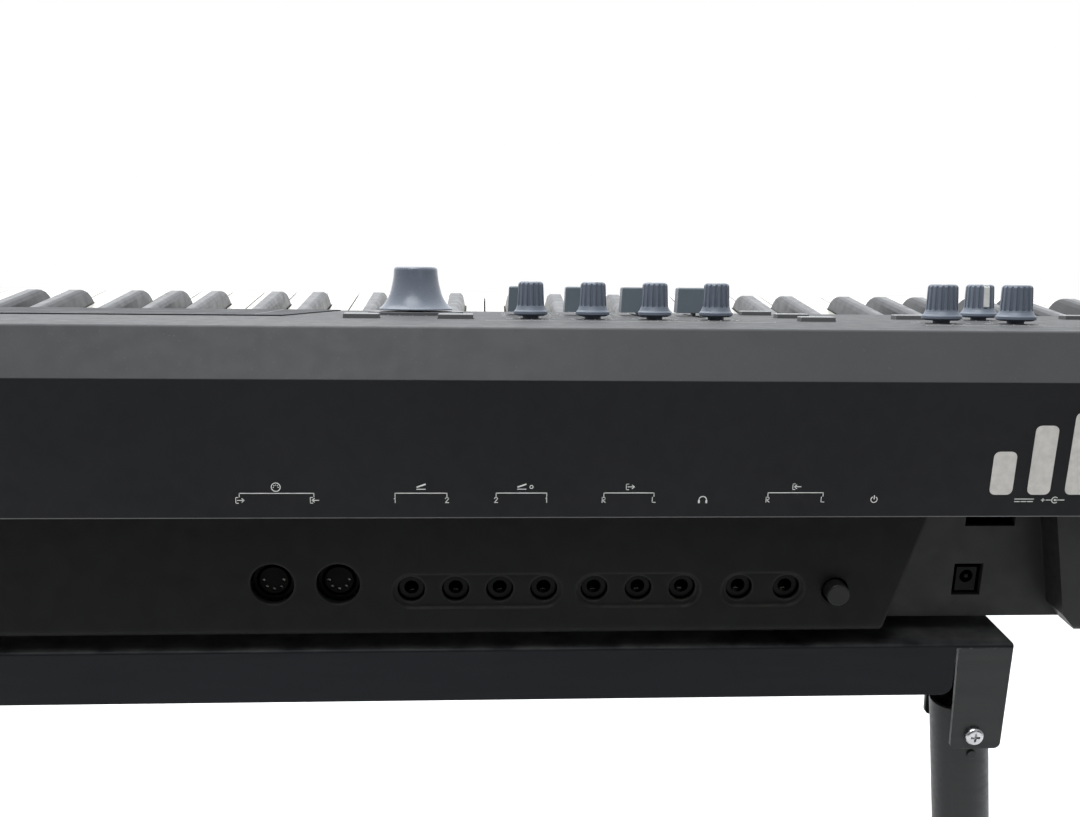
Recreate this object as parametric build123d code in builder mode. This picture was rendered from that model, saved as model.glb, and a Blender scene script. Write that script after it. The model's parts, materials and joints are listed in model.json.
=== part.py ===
from build123d import *

import os
from math import cos, radians, sin, tan

# An 88-key stage piano with rear jacks, knobs, sliders and wheels, resting on a steel stand: two
# rails and end plates on splayed tube legs, which stand on floor runners.
# Frame: millimetres, +Z up, +Y towards the rear panel, +X towards the player's right, origin on the floor
# under the middle of the object. Side profiles are given as (d, h): d is the distance in front of the rear
# band, and h the height above the stand's top, which the instrument's rubber feet rest on.

os.makedirs("parts", exist_ok=True)

# ---- driving dimensions ----
BODY_WIDTH = 1333.0
BODY_DEPTH = 395.0
CAP_PROUD = 0.8
STAND_TOP = 620.0
SHELL = 3.0
END_CAP = 12.0
REAR_Y = BODY_DEPTH / 2
INNER_HALF = BODY_WIDTH / 2 - END_CAP

# rear band, bevel and sloping control panel
BAND_LOW_H = 68.8
BAND_TOP_H = 130.8
BEVEL_DEPTH = 14.6
PANEL_REAR_H = 150.7
PANEL_FRONT_D = 222.0
SLOPE = 8.7
SIN = sin(radians(SLOPE))
COS = cos(radians(SLOPE))
TAN = tan(radians(SLOPE))

# lower case, jack panel and its neighbours
BASE_H = 8.3
FLOOR_PLATE = 2.5
JACK_PANEL_D = 8.0
RECESS_D = 24.0
JACK_PANEL_TOP_HALF = 366.0
JACK_PANEL_LOW_HALF = 349.0
BLOCK_TOP_HALF = 425.0
BLOCK_LOW_HALF = 436.0
BOARD_WINDOW_HALF = 335.0
BOARD_WINDOW_LOW_H = 14.0
BOARD_WINDOW_HIGH_H = 60.0

# keyboard
WHITE_PITCH = 23.5
WHITE_COUNT = 52
KEY_GAP = 1.0
WHITE_TOP_H = 105.3
KEY_LOW_H = 91.3
LIP_LOW_H = 83.3
WHITE_FRONT_D = 370.0
BLACK_FRONT_D = 318.0
BLACK_TOP_H = 117.6
PIVOT_D = 150.0
PIVOT_H = 98.3
KNUCKLE_R = 6.0
KEY_DIP_DEG = 2.6
KEYBOARD_LEFT = -WHITE_PITCH * WHITE_COUNT / 2

# sockets on the rear: places along X and heights
PHONE_X = (-131.2, -151.2, -171.2, -191.2, -214.2, -234.4, -254.6, -281.0, -303.0)
PHONE_H = 31.0
PHONE_BORE_R = 3.25
PHONE_HOLE_R = 6.2
PHONE_FACE_D = 11.6
PHONE_BORE_LENGTH = 16.0
SLOT_GROUPS = ((-131.2, -191.2), (-214.2, -254.6), (-281.0, -303.0))
MIDI_X = (-69.5, -98.7)
MIDI_H = 34.3
MIDI_HOLE_R = 9.8
MIDI_FACE_D = 12.5
USB_X = (88.0, 118.0)
USB_H = 33.0
POWER_X = -325.5
POWER_H = 29.9
POWER_HOLE_R = 6.3
DC_X = -395.5
DC_H = 27.6
DC_OPENING = (14.0, 16.2)

# controls on the panel, as (x, d)
KNOB_PITCH = 32.5
KNOB_X = [-188.0 - KNOB_PITCH * i for i in range(4)]
KNOB_D = 112.0
SLIDER_D = 172.0
SUPER_KNOB = (-125.0, 168.0)
ROUND_KNOBS = {"gain_knob": (-398.0, 92.0), "volume_knob": (-436.0, 90.0), "glide_knob": (-440.0, 139.0)}
DIAL = (232.0, 118.0)
WHEELS = {"mod_wheel": -535.0, "pitch_wheel": -577.0}
WHEEL_D = 104.0
WHEEL_R = 27.0
WHEEL_WIDTH = 15.0
WHEEL_AXIS_DEPTH = 14.0
WIDE_BUTTON = (18.0, 8.0)
WIDE_BUTTONS = {
    "scene_buttons": [(-101.3, 106.0), (-149.2, 106.0)],
    "mode_buttons": [(-337.0, 105.0), (-337.0, 150.0), (-328.0, 195.0), (-403.0, 145.0), (-512.0, 165.0)],
}
SMALL_BUTTON = (15.0, 7.0)
PAD_COLUMNS = 8
PAD_ROWS = 4
PAD_PITCH_X = 30.0
PAD_PITCH_D = 26.0
PAD_FIRST = (320.0, 86.0)
DISPLAY_X = (-58.0, 146.0)
DISPLAY_D = (122.0, 216.0)
DISPLAY_SKEW = 18.0

# stand
STEEL = 2.0
RAIL_D = 10.6
RAIL_WIDTH = 52.0
RAIL_HEIGHT = 26.6
RAIL_HALF = 416.0
FLANGE_HALF = 388.5
LEG_R = 13.8
LEG_WALL = 1.5
LEG_GAP = 29.2
LEG_TILT = 8.0
LEG_BOLT_X = 402.5
LEG_BOLT_H = -49.0
LEG_ABOVE_BOLT = 12.0
BRACKET_LOW_H = -56.5
RUNNER_R = 16.0
RUNNER_Z = 22.0
RUNNER_HALF = 186.0
CROSSBAR_R = 11.0
CROSSBAR_Z = 150.0
END_PLATE_WIDTH = 90.0
BOLT_R = 3.0


# ---- helpers ----
def side(d, h):
    """A point of a side profile, on Plane.YZ."""
    return (REAR_Y - d, STAND_TOP + h)


def rear_plane(d):
    """The vertical plane at depth d, seen from behind: its local x runs towards -X, and its normal to +Y."""
    return Plane(origin=(0, REAR_Y - d, STAND_TOP), x_dir=(-1, 0, 0), z_dir=(0, 1, 0))


def panel_h(d):
    """The height of the control panel's surface at depth d."""
    return PANEL_REAR_H - TAN * (d - BEVEL_DEPTH)


def panel_plane(x, d, lift=0.0):
    """A plane on the control panel, its normal out of the panel and its local y towards the rear."""
    return Plane(
        origin=(x, REAR_Y - d - lift * SIN, STAND_TOP + panel_h(d) + lift * COS),
        x_dir=(1, 0, 0),
        z_dir=(0, -SIN, COS),
    )


PANEL = panel_plane(0, BEVEL_DEPTH)


def on_panel(x, d):
    """The place of (x, d) in PANEL's local coordinates."""
    return (x, -(d - BEVEL_DEPTH) / COS)


def turning_plane(base):
    """A plane through base's normal: its local x is a radius and its local y the height above base."""
    return Plane(origin=base.origin, x_dir=base.x_dir, z_dir=-base.y_dir)


def save(name, shape):
    """Labels a piece and writes it to parts/NAME.step."""
    shape.label = name
    export_step(shape, f"parts/{name}.step")


def save_group(name, shapes):
    """Writes several like pieces as separate solids of one node."""
    save(name, Compound(children=[solid for shape in shapes for solid in shape.solids()]))


def both_sides(shape):
    """A piece and its mirror image on the other end of the object."""
    return [shape, shape.mirror(Plane.YZ)]


def four_corners(shape):
    """A piece at the rear left and its mirror images at the other three corners."""
    return [copy for one in both_sides(shape) for copy in (one, one.mirror(Plane.XZ))]


# ---- upper case: rear band, bevel and control panel in one moulding ----
def button_places():
    """Every panel button's (x, d), by node name."""
    places = dict(WIDE_BUTTONS)
    places["pad_buttons"] = [
        (PAD_FIRST[0] + PAD_PITCH_X * column, PAD_FIRST[1] + PAD_PITCH_D * row)
        for column in range(PAD_COLUMNS)
        for row in range(PAD_ROWS)
    ]
    return places


def button_size(name):
    return SMALL_BUTTON if name == "pad_buttons" else WIDE_BUTTON


BUTTON_CLEARANCE = 0.5
SHAFT_HOLE_R = 4.8
DIAL_HOLE_R = 6.0
SLIDER_SLOT = (3.4, 62.0)
WHEEL_SLOT = (WHEEL_WIDTH + 2.0, 2 * WHEEL_R + 2.0)
DISPLAY_POCKET = 2.0
EDGE_ROUND = 1.6

with BuildPart() as upper_case:
    with BuildSketch(Plane.YZ.offset(-INNER_HALF)):
        with BuildLine():
            Polyline(
                side(0, BAND_LOW_H),
                side(0, BAND_TOP_H),
                side(BEVEL_DEPTH, PANEL_REAR_H),
                side(PANEL_FRONT_D, panel_h(PANEL_FRONT_D)),
                side(PANEL_FRONT_D, panel_h(PANEL_FRONT_D) - 9),
                side(PANEL_FRONT_D - SHELL, panel_h(PANEL_FRONT_D) - 9),
                side(PANEL_FRONT_D - SHELL, panel_h(PANEL_FRONT_D - SHELL) - SHELL),
                side(BEVEL_DEPTH + 1.1, PANEL_REAR_H - SHELL - 0.3),
                side(SHELL, BAND_TOP_H - 1.1),
                side(SHELL, BAND_LOW_H),
                close=True,
            )
        make_face()
    extrude(amount=2 * INNER_HALF)
    long_edges = upper_case.edges().filter_by(Axis.X)
    fillet(long_edges.sort_by(Axis.Z)[-1], radius=EDGE_ROUND)
    fillet(upper_case.edges().filter_by(Axis.X).group_by(Axis.Y)[-1], radius=0.8)
    with BuildSketch(PANEL.offset(1)):
        with Locations(*[on_panel(x, KNOB_D) for x in KNOB_X]):
            Circle(SHAFT_HOLE_R)
        with Locations(*[on_panel(*place) for place in ROUND_KNOBS.values()], on_panel(*SUPER_KNOB)):
            Circle(SHAFT_HOLE_R)
        with Locations(on_panel(*DIAL)):
            Circle(DIAL_HOLE_R)
        with Locations(*[on_panel(x, SLIDER_D) for x in KNOB_X]):
            Rectangle(*SLIDER_SLOT)
        with Locations(*[on_panel(x, WHEEL_D) for x in WHEELS.values()]):
            Rectangle(*WHEEL_SLOT)
        for name, places in button_places().items():
            width, depth = button_size(name)
            with Locations(*[on_panel(*place) for place in places]):
                Rectangle(width + 2 * BUTTON_CLEARANCE, depth + 2 * BUTTON_CLEARANCE)
    extrude(amount=-(SHELL + 3), mode=Mode.SUBTRACT)
    with BuildSketch(PANEL.offset(-DISPLAY_POCKET)):
        with BuildLine():
            Polyline(
                on_panel(DISPLAY_X[0] - 0.3, DISPLAY_D[0] - 0.3),
                on_panel(DISPLAY_X[0] - DISPLAY_SKEW - 0.3, DISPLAY_D[1] + 0.3),
                on_panel(DISPLAY_X[1] + DISPLAY_SKEW + 0.3, DISPLAY_D[1] + 0.3),
                on_panel(DISPLAY_X[1] + 0.3, DISPLAY_D[0] - 0.3),
                close=True,
            )
        make_face()
    extrude(amount=DISPLAY_POCKET + 1, mode=Mode.SUBTRACT)
save("upper_case", upper_case.part)

DISPLAY_PROUD = 0.6
with BuildPart() as display_glass:
    with BuildSketch(PANEL.offset(-DISPLAY_POCKET)):
        with BuildLine():
            Polyline(
                on_panel(DISPLAY_X[0], DISPLAY_D[0]),
                on_panel(DISPLAY_X[0] - DISPLAY_SKEW, DISPLAY_D[1]),
                on_panel(DISPLAY_X[1] + DISPLAY_SKEW, DISPLAY_D[1]),
                on_panel(DISPLAY_X[1], DISPLAY_D[0]),
                close=True,
            )
        make_face()
    extrude(amount=DISPLAY_POCKET + DISPLAY_PROUD)
save("display_glass", display_glass.part)


# ---- lower case: floor plate, recessed rear wall and the two end blocks ----
CASE_SCREW_X = (-600.0, -420.0, -140.0, 140.0, 420.0, 600.0)
CASE_SCREW_D = (60.0, 340.0)
CASE_SCREW_R = 1.7
CASE_FRONT_D = 378.0
HOOK_SLOT = (24.0, 9.0)
HOOK_SLOT_X = -403.0
HOOK_SLOT_H = 59.5


# the outline of the left end block seen from behind, its local x running towards -X
END_BLOCK_OUTLINE = (
    (BLOCK_TOP_HALF, BAND_LOW_H - 0.4),
    (INNER_HALF, BAND_LOW_H - 0.4),
    (INNER_HALF, BASE_H - 0.8),
    (BLOCK_LOW_HALF + 8, BASE_H - 0.8),
    (BLOCK_LOW_HALF, BASE_H + 8),
)

with BuildPart() as lower_case:
    with BuildSketch(Plane.YZ.offset(-INNER_HALF)):
        with BuildLine():
            Polyline(
                side(RECESS_D, BASE_H),
                side(RECESS_D, BAND_LOW_H),
                side(RECESS_D + SHELL, BAND_LOW_H),
                side(RECESS_D + SHELL, BASE_H + FLOOR_PLATE),
                side(CASE_FRONT_D, BASE_H + FLOOR_PLATE),
                side(CASE_FRONT_D, BASE_H),
                close=True,
            )
        make_face()
    extrude(amount=2 * INNER_HALF)
    with BuildSketch(rear_plane(RECESS_D)):
        with BuildLine():
            Polyline(*END_BLOCK_OUTLINE, close=True)
        make_face()
        mirror(about=Plane.YZ)
    extrude(amount=RECESS_D - JACK_PANEL_D)
    block_edges = lower_case.edges().filter_by(Axis.X).group_by(Axis.Y)[-1].group_by(Axis.Z)[0]
    fillet(block_edges, radius=4)
    with BuildSketch(rear_plane(RECESS_D)):
        with Locations((0, (BOARD_WINDOW_LOW_H + BOARD_WINDOW_HIGH_H) / 2)):
            Rectangle(2 * BOARD_WINDOW_HALF, BOARD_WINDOW_HIGH_H - BOARD_WINDOW_LOW_H)
        with Locations((-DC_X, DC_H)):
            Rectangle(*DC_OPENING)
        with Locations((-HOOK_SLOT_X, HOOK_SLOT_H)):
            Rectangle(*HOOK_SLOT)
    extrude(amount=-SHELL, mode=Mode.SUBTRACT)
    with BuildSketch(Plane.XY.offset(STAND_TOP + BASE_H)):
        with Locations(*[(x, REAR_Y - d) for x in CASE_SCREW_X for d in CASE_SCREW_D]):
            Circle(CASE_SCREW_R + 0.1)
    extrude(amount=FLOOR_PLATE, mode=Mode.SUBTRACT)
save("lower_case", lower_case.part)

# ---- jack panel: a shallow cover with slanted ends, its holes and three long recesses ----
SLOT_RECESS = 1.2
SLOT_RECESS_R = 8.2
JACK_PANEL_ROUND = 4.0
JACK_PANEL_TOP_H = BAND_LOW_H - 0.4

with BuildPart() as jack_panel:
    with BuildSketch(rear_plane(RECESS_D)):
        with BuildLine():
            Polyline(
                (-JACK_PANEL_TOP_HALF, JACK_PANEL_TOP_H),
                (JACK_PANEL_TOP_HALF, JACK_PANEL_TOP_H),
                (JACK_PANEL_LOW_HALF, BASE_H),
                (-JACK_PANEL_LOW_HALF, BASE_H),
                close=True,
            )
        make_face()
    extrude(amount=RECESS_D - JACK_PANEL_D)
    front_face = jack_panel.faces().sort_by(Axis.Y)[-1]
    fillet(front_face.edges().sort_by(Axis.Z)[0], radius=JACK_PANEL_ROUND)
    with BuildSketch(rear_plane(RECESS_D)):
        with BuildLine():
            Polyline(
                (-JACK_PANEL_TOP_HALF + SHELL + 1, JACK_PANEL_TOP_H - SHELL),
                (JACK_PANEL_TOP_HALF - SHELL - 1, JACK_PANEL_TOP_H - SHELL),
                (JACK_PANEL_LOW_HALF - SHELL, BASE_H + SHELL),
                (-JACK_PANEL_LOW_HALF + SHELL, BASE_H + SHELL),
                close=True,
            )
        make_face()
    extrude(amount=RECESS_D - JACK_PANEL_D - SHELL, mode=Mode.SUBTRACT)
    with BuildSketch(rear_plane(JACK_PANEL_D)):
        for first, last in SLOT_GROUPS:
            with Locations((-(first + last) / 2, PHONE_H - 0.6)):
                SlotCenterToCenter(abs(last - first), 2 * SLOT_RECESS_R)
    extrude(amount=-SLOT_RECESS, mode=Mode.SUBTRACT)
    with BuildSketch(rear_plane(JACK_PANEL_D)):
        with Locations(*[(-x, PHONE_H) for x in PHONE_X]):
            Circle(PHONE_HOLE_R)
        with Locations(*[(-x, MIDI_H) for x in MIDI_X]):
            Circle(MIDI_HOLE_R)
        with Locations((-POWER_X, POWER_H)):
            Circle(POWER_HOLE_R)
        with Locations(*[(-x, USB_H) for x in USB_X]):
            Rectangle(15.0, 13.0)
    extrude(amount=-SHELL, mode=Mode.SUBTRACT)
save("jack_panel", jack_panel.part)

# ---- sockets behind the jack panel ----
PHONE_NOSE_R = 5.6
PHONE_BODY = 15.0
PHONE_BODY_LENGTH = 27.0

phone_jacks = []
for x in PHONE_X:
    with BuildPart() as phone_jack:
        with BuildSketch(rear_plane(PHONE_FACE_D)):
            with Locations((-x, PHONE_H)):
                Circle(PHONE_NOSE_R)
        extrude(amount=-3)
        with BuildSketch(rear_plane(PHONE_FACE_D + 3)):
            with Locations((-x, PHONE_H)):
                Rectangle(PHONE_BODY, PHONE_BODY)
        extrude(amount=-PHONE_BODY_LENGTH)
        with BuildSketch(rear_plane(PHONE_FACE_D)):
            with Locations((-x, PHONE_H)):
                Circle(PHONE_BORE_R)
        extrude(amount=-PHONE_BORE_LENGTH, mode=Mode.SUBTRACT)
    phone_jacks.append(phone_jack.part)
save_group("phone_jacks", phone_jacks)

MIDI_SHELL_R = 9.4
MIDI_INSERT_R = 6.4
MIDI_GROOVE_R = 7.8
MIDI_PIN_CIRCLE_R = 4.45
MIDI_PIN_R = 0.8
MIDI_BODY_LENGTH = 16.0

midi_sockets = []
for x in MIDI_X:
    with BuildPart() as midi_socket:
        with BuildSketch(rear_plane(MIDI_FACE_D)):
            with Locations((-x, MIDI_H)):
                Circle(MIDI_SHELL_R)
        extrude(amount=-MIDI_BODY_LENGTH)
        with BuildSketch(rear_plane(MIDI_FACE_D)):
            with Locations((-x, MIDI_H)):
                Circle(MIDI_GROOVE_R)
                Circle(MIDI_INSERT_R, mode=Mode.SUBTRACT)
                with PolarLocations(MIDI_PIN_CIRCLE_R, 5, start_angle=180, angular_range=180, endpoint=True):
                    Circle(MIDI_PIN_R)
        extrude(amount=-8, mode=Mode.SUBTRACT)
    midi_sockets.append(midi_socket.part)
save_group("midi_sockets", midi_sockets)

usb_sockets = []
for x in USB_X:
    with BuildPart() as usb_socket:
        with BuildSketch(rear_plane(JACK_PANEL_D + 0.6)):
            with Locations((-x, USB_H)):
                Rectangle(14.0, 12.0)
        extrude(amount=-16)
        with BuildSketch(rear_plane(JACK_PANEL_D + 0.6)):
            with Locations((-x, USB_H)):
                Rectangle(12.4, 9.0)
                Rectangle(9.0, 5.6, mode=Mode.SUBTRACT)
        extrude(amount=-10, mode=Mode.SUBTRACT)
    usb_sockets.append(usb_socket.part)
save_group("usb_sockets", usb_sockets)

DC_FACE_D = RECESS_D + 1.5
with BuildPart() as dc_socket:
    with BuildSketch(rear_plane(DC_FACE_D)):
        with Locations((-DC_X, DC_H - 0.4)):
            Rectangle(9.8, 12.2)
    extrude(amount=-13)
    with BuildSketch(rear_plane(DC_FACE_D)):
        with Locations((-DC_X, DC_H + 1.0)):
            Circle(3.2)
            Circle(1.0, mode=Mode.SUBTRACT)
    extrude(amount=-10, mode=Mode.SUBTRACT)
save("dc_socket", dc_socket.part)

# the power switch: a round button that slides in its square body
POWER_BUTTON_R = 5.2
POWER_BODY_D = 20.0
with BuildPart() as power_button:
    with BuildSketch(rear_plane(JACK_PANEL_D - 6)):
        with Locations((-POWER_X, POWER_H)):
            Circle(POWER_BUTTON_R)
    extrude(amount=-9)
    front_rim = power_button.faces().sort_by(Axis.Y)[-1].edges()
    fillet(front_rim, radius=0.7)
    with BuildSketch(rear_plane(JACK_PANEL_D + 3)):
        with Locations((-POWER_X, POWER_H)):
            Rectangle(4.0, 4.0)
    extrude(amount=-14)
save("power_button", power_button.part)

with BuildPart() as power_switch:
    with BuildSketch(rear_plane(POWER_BODY_D)):
        with Locations((-POWER_X, POWER_H)):
            Rectangle(12.0, 12.0)
            Rectangle(4.8, 4.8, mode=Mode.SUBTRACT)
    extrude(amount=-15)
save("power_switch_body", power_switch.part)

# ---- circuit boards ----
BOARD = 1.6
JACK_BOARD_H = PHONE_H - PHONE_BODY / 2 - BOARD - 0.2
with BuildPart() as jack_board:
    with BuildSketch(Plane.XY.offset(STAND_TOP + JACK_BOARD_H)):
        with Locations((0, REAR_Y - 41)):
            Rectangle(2 * BOARD_WINDOW_HALF - 6, 52)
    extrude(amount=-BOARD)

with BuildPart() as main_board:
    with BuildSketch(Plane.XY.offset(STAND_TOP + BASE_H + FLOOR_PLATE + 6)):
        with Locations((60, REAR_Y - 105)):
            Rectangle(300, 66)
    extrude(amount=BOARD)
    with BuildSketch(Plane.XY.offset(STAND_TOP + BASE_H + FLOOR_PLATE + 6 + BOARD)):
        with GridLocations(80, 30, 3, 2):
            with Locations((60, REAR_Y - 105)):
                Rectangle(22, 18)
    extrude(amount=2)
    with BuildSketch(Plane.XY.offset(STAND_TOP + BASE_H + FLOOR_PLATE)):
        with Locations((60, REAR_Y - 105)):
            with GridLocations(280, 50, 2, 2):
                Circle(3)
    extrude(amount=6)

# ---- end caps and key slip ----
SLIP_BACK_D = 373.0
SLIP_TOP_H = 99.0
CAP_FRONT_H = 98.0


# the side outline of the whole instrument
END_CAP_OUTLINE = (
    side(BODY_DEPTH + CAP_PROUD, 30),
    side(BODY_DEPTH - 12, BASE_H - 1.2),
    side(JACK_PANEL_D + 5, BASE_H - 1.2),
    side(JACK_PANEL_D - CAP_PROUD, BASE_H + 4),
    side(-CAP_PROUD, BAND_LOW_H),
    side(-CAP_PROUD, BAND_TOP_H),
    side(BEVEL_DEPTH - CAP_PROUD, PANEL_REAR_H + CAP_PROUD),
    side(PANEL_FRONT_D, panel_h(PANEL_FRONT_D) + CAP_PROUD),
    side(BODY_DEPTH - 16, CAP_FRONT_H + 3.5),
    side(BODY_DEPTH + CAP_PROUD, CAP_FRONT_H - 12),
)

with BuildPart() as left_end_cap:
    with BuildSketch(Plane.YZ.offset(-BODY_WIDTH / 2)):
        with BuildLine():
            Polyline(*END_CAP_OUTLINE, close=True)
        make_face()
    extrude(amount=END_CAP)
    outer_rim = left_end_cap.faces().sort_by(Axis.X)[0].edges()
    chamfer(outer_rim, length=1.5)
save_group("end_caps", both_sides(left_end_cap.part))

with BuildPart() as key_slip:
    with BuildSketch(Plane.YZ.offset(-INNER_HALF)):
        with BuildLine():
            Polyline(
                side(SLIP_BACK_D, SLIP_TOP_H),
                side(BODY_DEPTH - 10, SLIP_TOP_H),
                side(BODY_DEPTH, SLIP_TOP_H - 12),
                side(BODY_DEPTH, 30),
                side(BODY_DEPTH - 12, BASE_H),
                side(BODY_DEPTH - 15.5, BASE_H),
                side(BODY_DEPTH - 3.5, 31),
                side(BODY_DEPTH - 3.5, SLIP_TOP_H - 13),
                side(BODY_DEPTH - 11.5, SLIP_TOP_H - 3.5),
                side(SLIP_BACK_D, SLIP_TOP_H - 3.5),
                close=True,
            )
        make_face()
    extrude(amount=2 * INNER_HALF)
save("key_slip", key_slip.part)

# ---- key blocks at both ends of the keyboard, between the keys and the end caps ----
CHEEK_GAP = 0.8
with BuildPart() as left_key_block:
    with BuildSketch(Plane.YZ.offset(-INNER_HALF)):
        with BuildLine():
            Polyline(
                side(PANEL_FRONT_D + 0.4, panel_h(PANEL_FRONT_D) - 1),
                side(SLIP_BACK_D - 0.4, CAP_FRONT_H + 2),
                side(SLIP_BACK_D - 0.4, KEY_LOW_H - 20),
                side(PANEL_FRONT_D + 0.4, KEY_LOW_H - 20),
                close=True,
            )
        make_face()
    extrude(amount=INNER_HALF + KEYBOARD_LEFT - CHEEK_GAP)
save_group("key_blocks", both_sides(left_key_block.part))

# ---- key frame: a folded steel chassis on ten posts, with the pivot rail's groove, and the contact board ----
FRAME_H = 30.0
RAIL_TOP_H = PIVOT_H + 2
FRAME_HALF = -KEYBOARD_LEFT
with BuildPart() as key_frame:
    with BuildSketch(Plane.YZ.offset(-FRAME_HALF)):
        with BuildLine():
            Polyline(
                side(PIVOT_D - 12, FRAME_H),
                side(PIVOT_D - 12, RAIL_TOP_H),
                side(PIVOT_D - 3, RAIL_TOP_H),
                side(PIVOT_D - 3, FRAME_H + STEEL),
                side(345, FRAME_H + STEEL),
                side(345, 66),
                side(345 + STEEL, 66),
                side(345 + STEEL, FRAME_H),
                close=True,
            )
        make_face()
    extrude(amount=2 * FRAME_HALF)
    with BuildSketch(Plane.YZ.offset(-FRAME_HALF)):
        with Locations(side(PIVOT_D, PIVOT_H)):
            Circle(KNUCKLE_R + 0.35)
    extrude(amount=2 * FRAME_HALF, mode=Mode.SUBTRACT)
    with BuildSketch(Plane.XY.offset(STAND_TOP + BASE_H + FLOOR_PLATE)):
        with Locations((0, REAR_Y - 250)):
            with GridLocations(280, 140, 5, 2):
                Circle(5)
    extrude(amount=FRAME_H - BASE_H - FLOOR_PLATE)
save("key_frame", key_frame.part)

with BuildPart() as contact_board:
    with BuildSketch(Plane.XY.offset(STAND_TOP + 60)):
        with Locations((0, REAR_Y - 250)):
            Rectangle(2 * FRAME_HALF - 10, 50)
    extrude(amount=BOARD)


# ---- keys ----
# An octave's five tails in C-E share 3 white pitches, and its seven tails in F-B share 4.
LOW_TAIL = 3 * WHITE_PITCH / 5
HIGH_TAIL = 4 * WHITE_PITCH / 7
NOTES = ("c", "c_sharp", "d", "d_sharp", "e", "f", "f_sharp", "g", "g_sharp", "a", "a_sharp", "b")
WHITE_INDEX = {"c": 0, "d": 1, "e": 2, "f": 3, "g": 4, "a": 5, "b": 6}
LOWEST_NOTE = 9
KEY_COUNT = 88
FIRST_C = KEYBOARD_LEFT - 5 * WHITE_PITCH


def tail_span(note):
    """Where a note's tail lies along an octave, from C's left edge."""
    i = NOTES.index(note)
    if i < 5:
        return i * LOW_TAIL, (i + 1) * LOW_TAIL
    return 3 * WHITE_PITCH + (i - 5) * HIGH_TAIL, 3 * WHITE_PITCH + (i - 4) * HIGH_TAIL


def knuckle():
    """The round end of a key, on the pivot's axis."""
    with Locations(side(PIVOT_D, PIVOT_H)):
        Circle(KNUCKLE_R)


def white_key(low, high, tail_low, tail_high):
    """A white key from x = low to high, its tail cut narrower beside the black keys."""
    with BuildPart() as key:
        with BuildSketch(Plane.YZ.offset(low)):
            with BuildLine():
                Polyline(
                    side(PIVOT_D, PIVOT_H + KNUCKLE_R),
                    side(WHITE_FRONT_D - 40, WHITE_TOP_H),
                    side(WHITE_FRONT_D, WHITE_TOP_H),
                    side(WHITE_FRONT_D, LIP_LOW_H),
                    side(WHITE_FRONT_D - 8, LIP_LOW_H),
                    side(WHITE_FRONT_D - 8, KEY_LOW_H),
                    side(PIVOT_D, PIVOT_H - KNUCKLE_R),
                    close=True,
                )
            make_face()
            knuckle()
        extrude(amount=high - low)
        for start, end in ((low, tail_low), (tail_high, high)):
            if end - start > 0.01:
                with BuildSketch(Plane.XY.offset(STAND_TOP + KEY_LOW_H - 20)):
                    with Locations(((start + end) / 2, REAR_Y - (BLACK_FRONT_D + 1.0) / 2)):
                        Rectangle(end - start, BLACK_FRONT_D + 1.0)
                extrude(amount=60, mode=Mode.SUBTRACT)
    return key.part


def black_key(low, high):
    """A black key: a tail under the panel and a raised head with sloping sides and a round nose."""
    with BuildPart() as key:
        with BuildSketch(Plane.YZ.offset(low)):
            with BuildLine():
                tail = Polyline(
                    side(PIVOT_D, PIVOT_H + KNUCKLE_R),
                    side(PANEL_FRONT_D + 1.5, WHITE_TOP_H - 1),
                    side(PANEL_FRONT_D + 1.5, BLACK_TOP_H),
                    side(BLACK_FRONT_D - 20, BLACK_TOP_H - 0.4),
                )
                nose = Spline(
                    tail @ 1,
                    side(BLACK_FRONT_D - 7, BLACK_TOP_H - 4.2),
                    side(BLACK_FRONT_D, WHITE_TOP_H),
                    tangents=((-1, -0.01), (-0.45, -1)),
                )
                Polyline(
                    nose @ 1,
                    side(BLACK_FRONT_D, KEY_LOW_H),
                    side(PIVOT_D, PIVOT_H - KNUCKLE_R),
                    side(PIVOT_D, PIVOT_H + KNUCKLE_R),
                )
            make_face()
            knuckle()
        extrude(amount=high - low)
        for x, way in ((low, 1), (high, -1)):
            head_start = side(PANEL_FRONT_D, 0)
            head_end = Plane(origin=(x, *head_start), x_dir=(1, 0, 0), z_dir=(0, -1, 0))
            with BuildSketch(head_end):
                with BuildLine():
                    Polyline(
                        (0, WHITE_TOP_H),
                        (way * 1.3, BLACK_TOP_H - 4.0),
                        (way * 2.3, BLACK_TOP_H - 1.7),
                        (way * 3.5, BLACK_TOP_H - 0.5),
                        (way * 4.9, BLACK_TOP_H + 0.1),
                        (0, BLACK_TOP_H + 0.1),
                        close=True,
                    )
                make_face()
            extrude(amount=BLACK_FRONT_D - PANEL_FRONT_D + 1, mode=Mode.SUBTRACT)
    return key.part


keys = {note: [] for note in NOTES}
for number in range(KEY_COUNT):
    octave, step = divmod(LOWEST_NOTE + number, 12)
    note = NOTES[step]
    octave_left = FIRST_C + octave * 7 * WHITE_PITCH
    tail_low, tail_high = (octave_left + edge for edge in tail_span(note))
    tail_low += KEY_GAP / 2
    tail_high -= KEY_GAP / 2
    if note in WHITE_INDEX:
        low = octave_left + WHITE_INDEX[note] * WHITE_PITCH + KEY_GAP / 2
        high = low + WHITE_PITCH - KEY_GAP
        if number == 0:
            tail_low = low
        if number == KEY_COUNT - 1:
            tail_high = high
        keys[note].append(white_key(low, high, tail_low, tail_high))
    else:
        keys[note].append(black_key(tail_low, tail_high))
for note, solids in keys.items():
    save_group(f"keys_{note}", solids)


# ---- knobs, dial, sliders, wheels and buttons ----
def turned(base, points):
    """A solid of revolution about base's normal, from (radius, height) points that begin and end on the axis."""
    with BuildPart() as body:
        with BuildSketch(turning_plane(base)):
            with BuildLine():
                Polyline(*points, close=True)
            make_face()
        revolve(axis=Axis(base.origin, base.z_dir))
    return body.part


KNOB_FOOT = 1.6
COLLAR_R = 4.2


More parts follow.
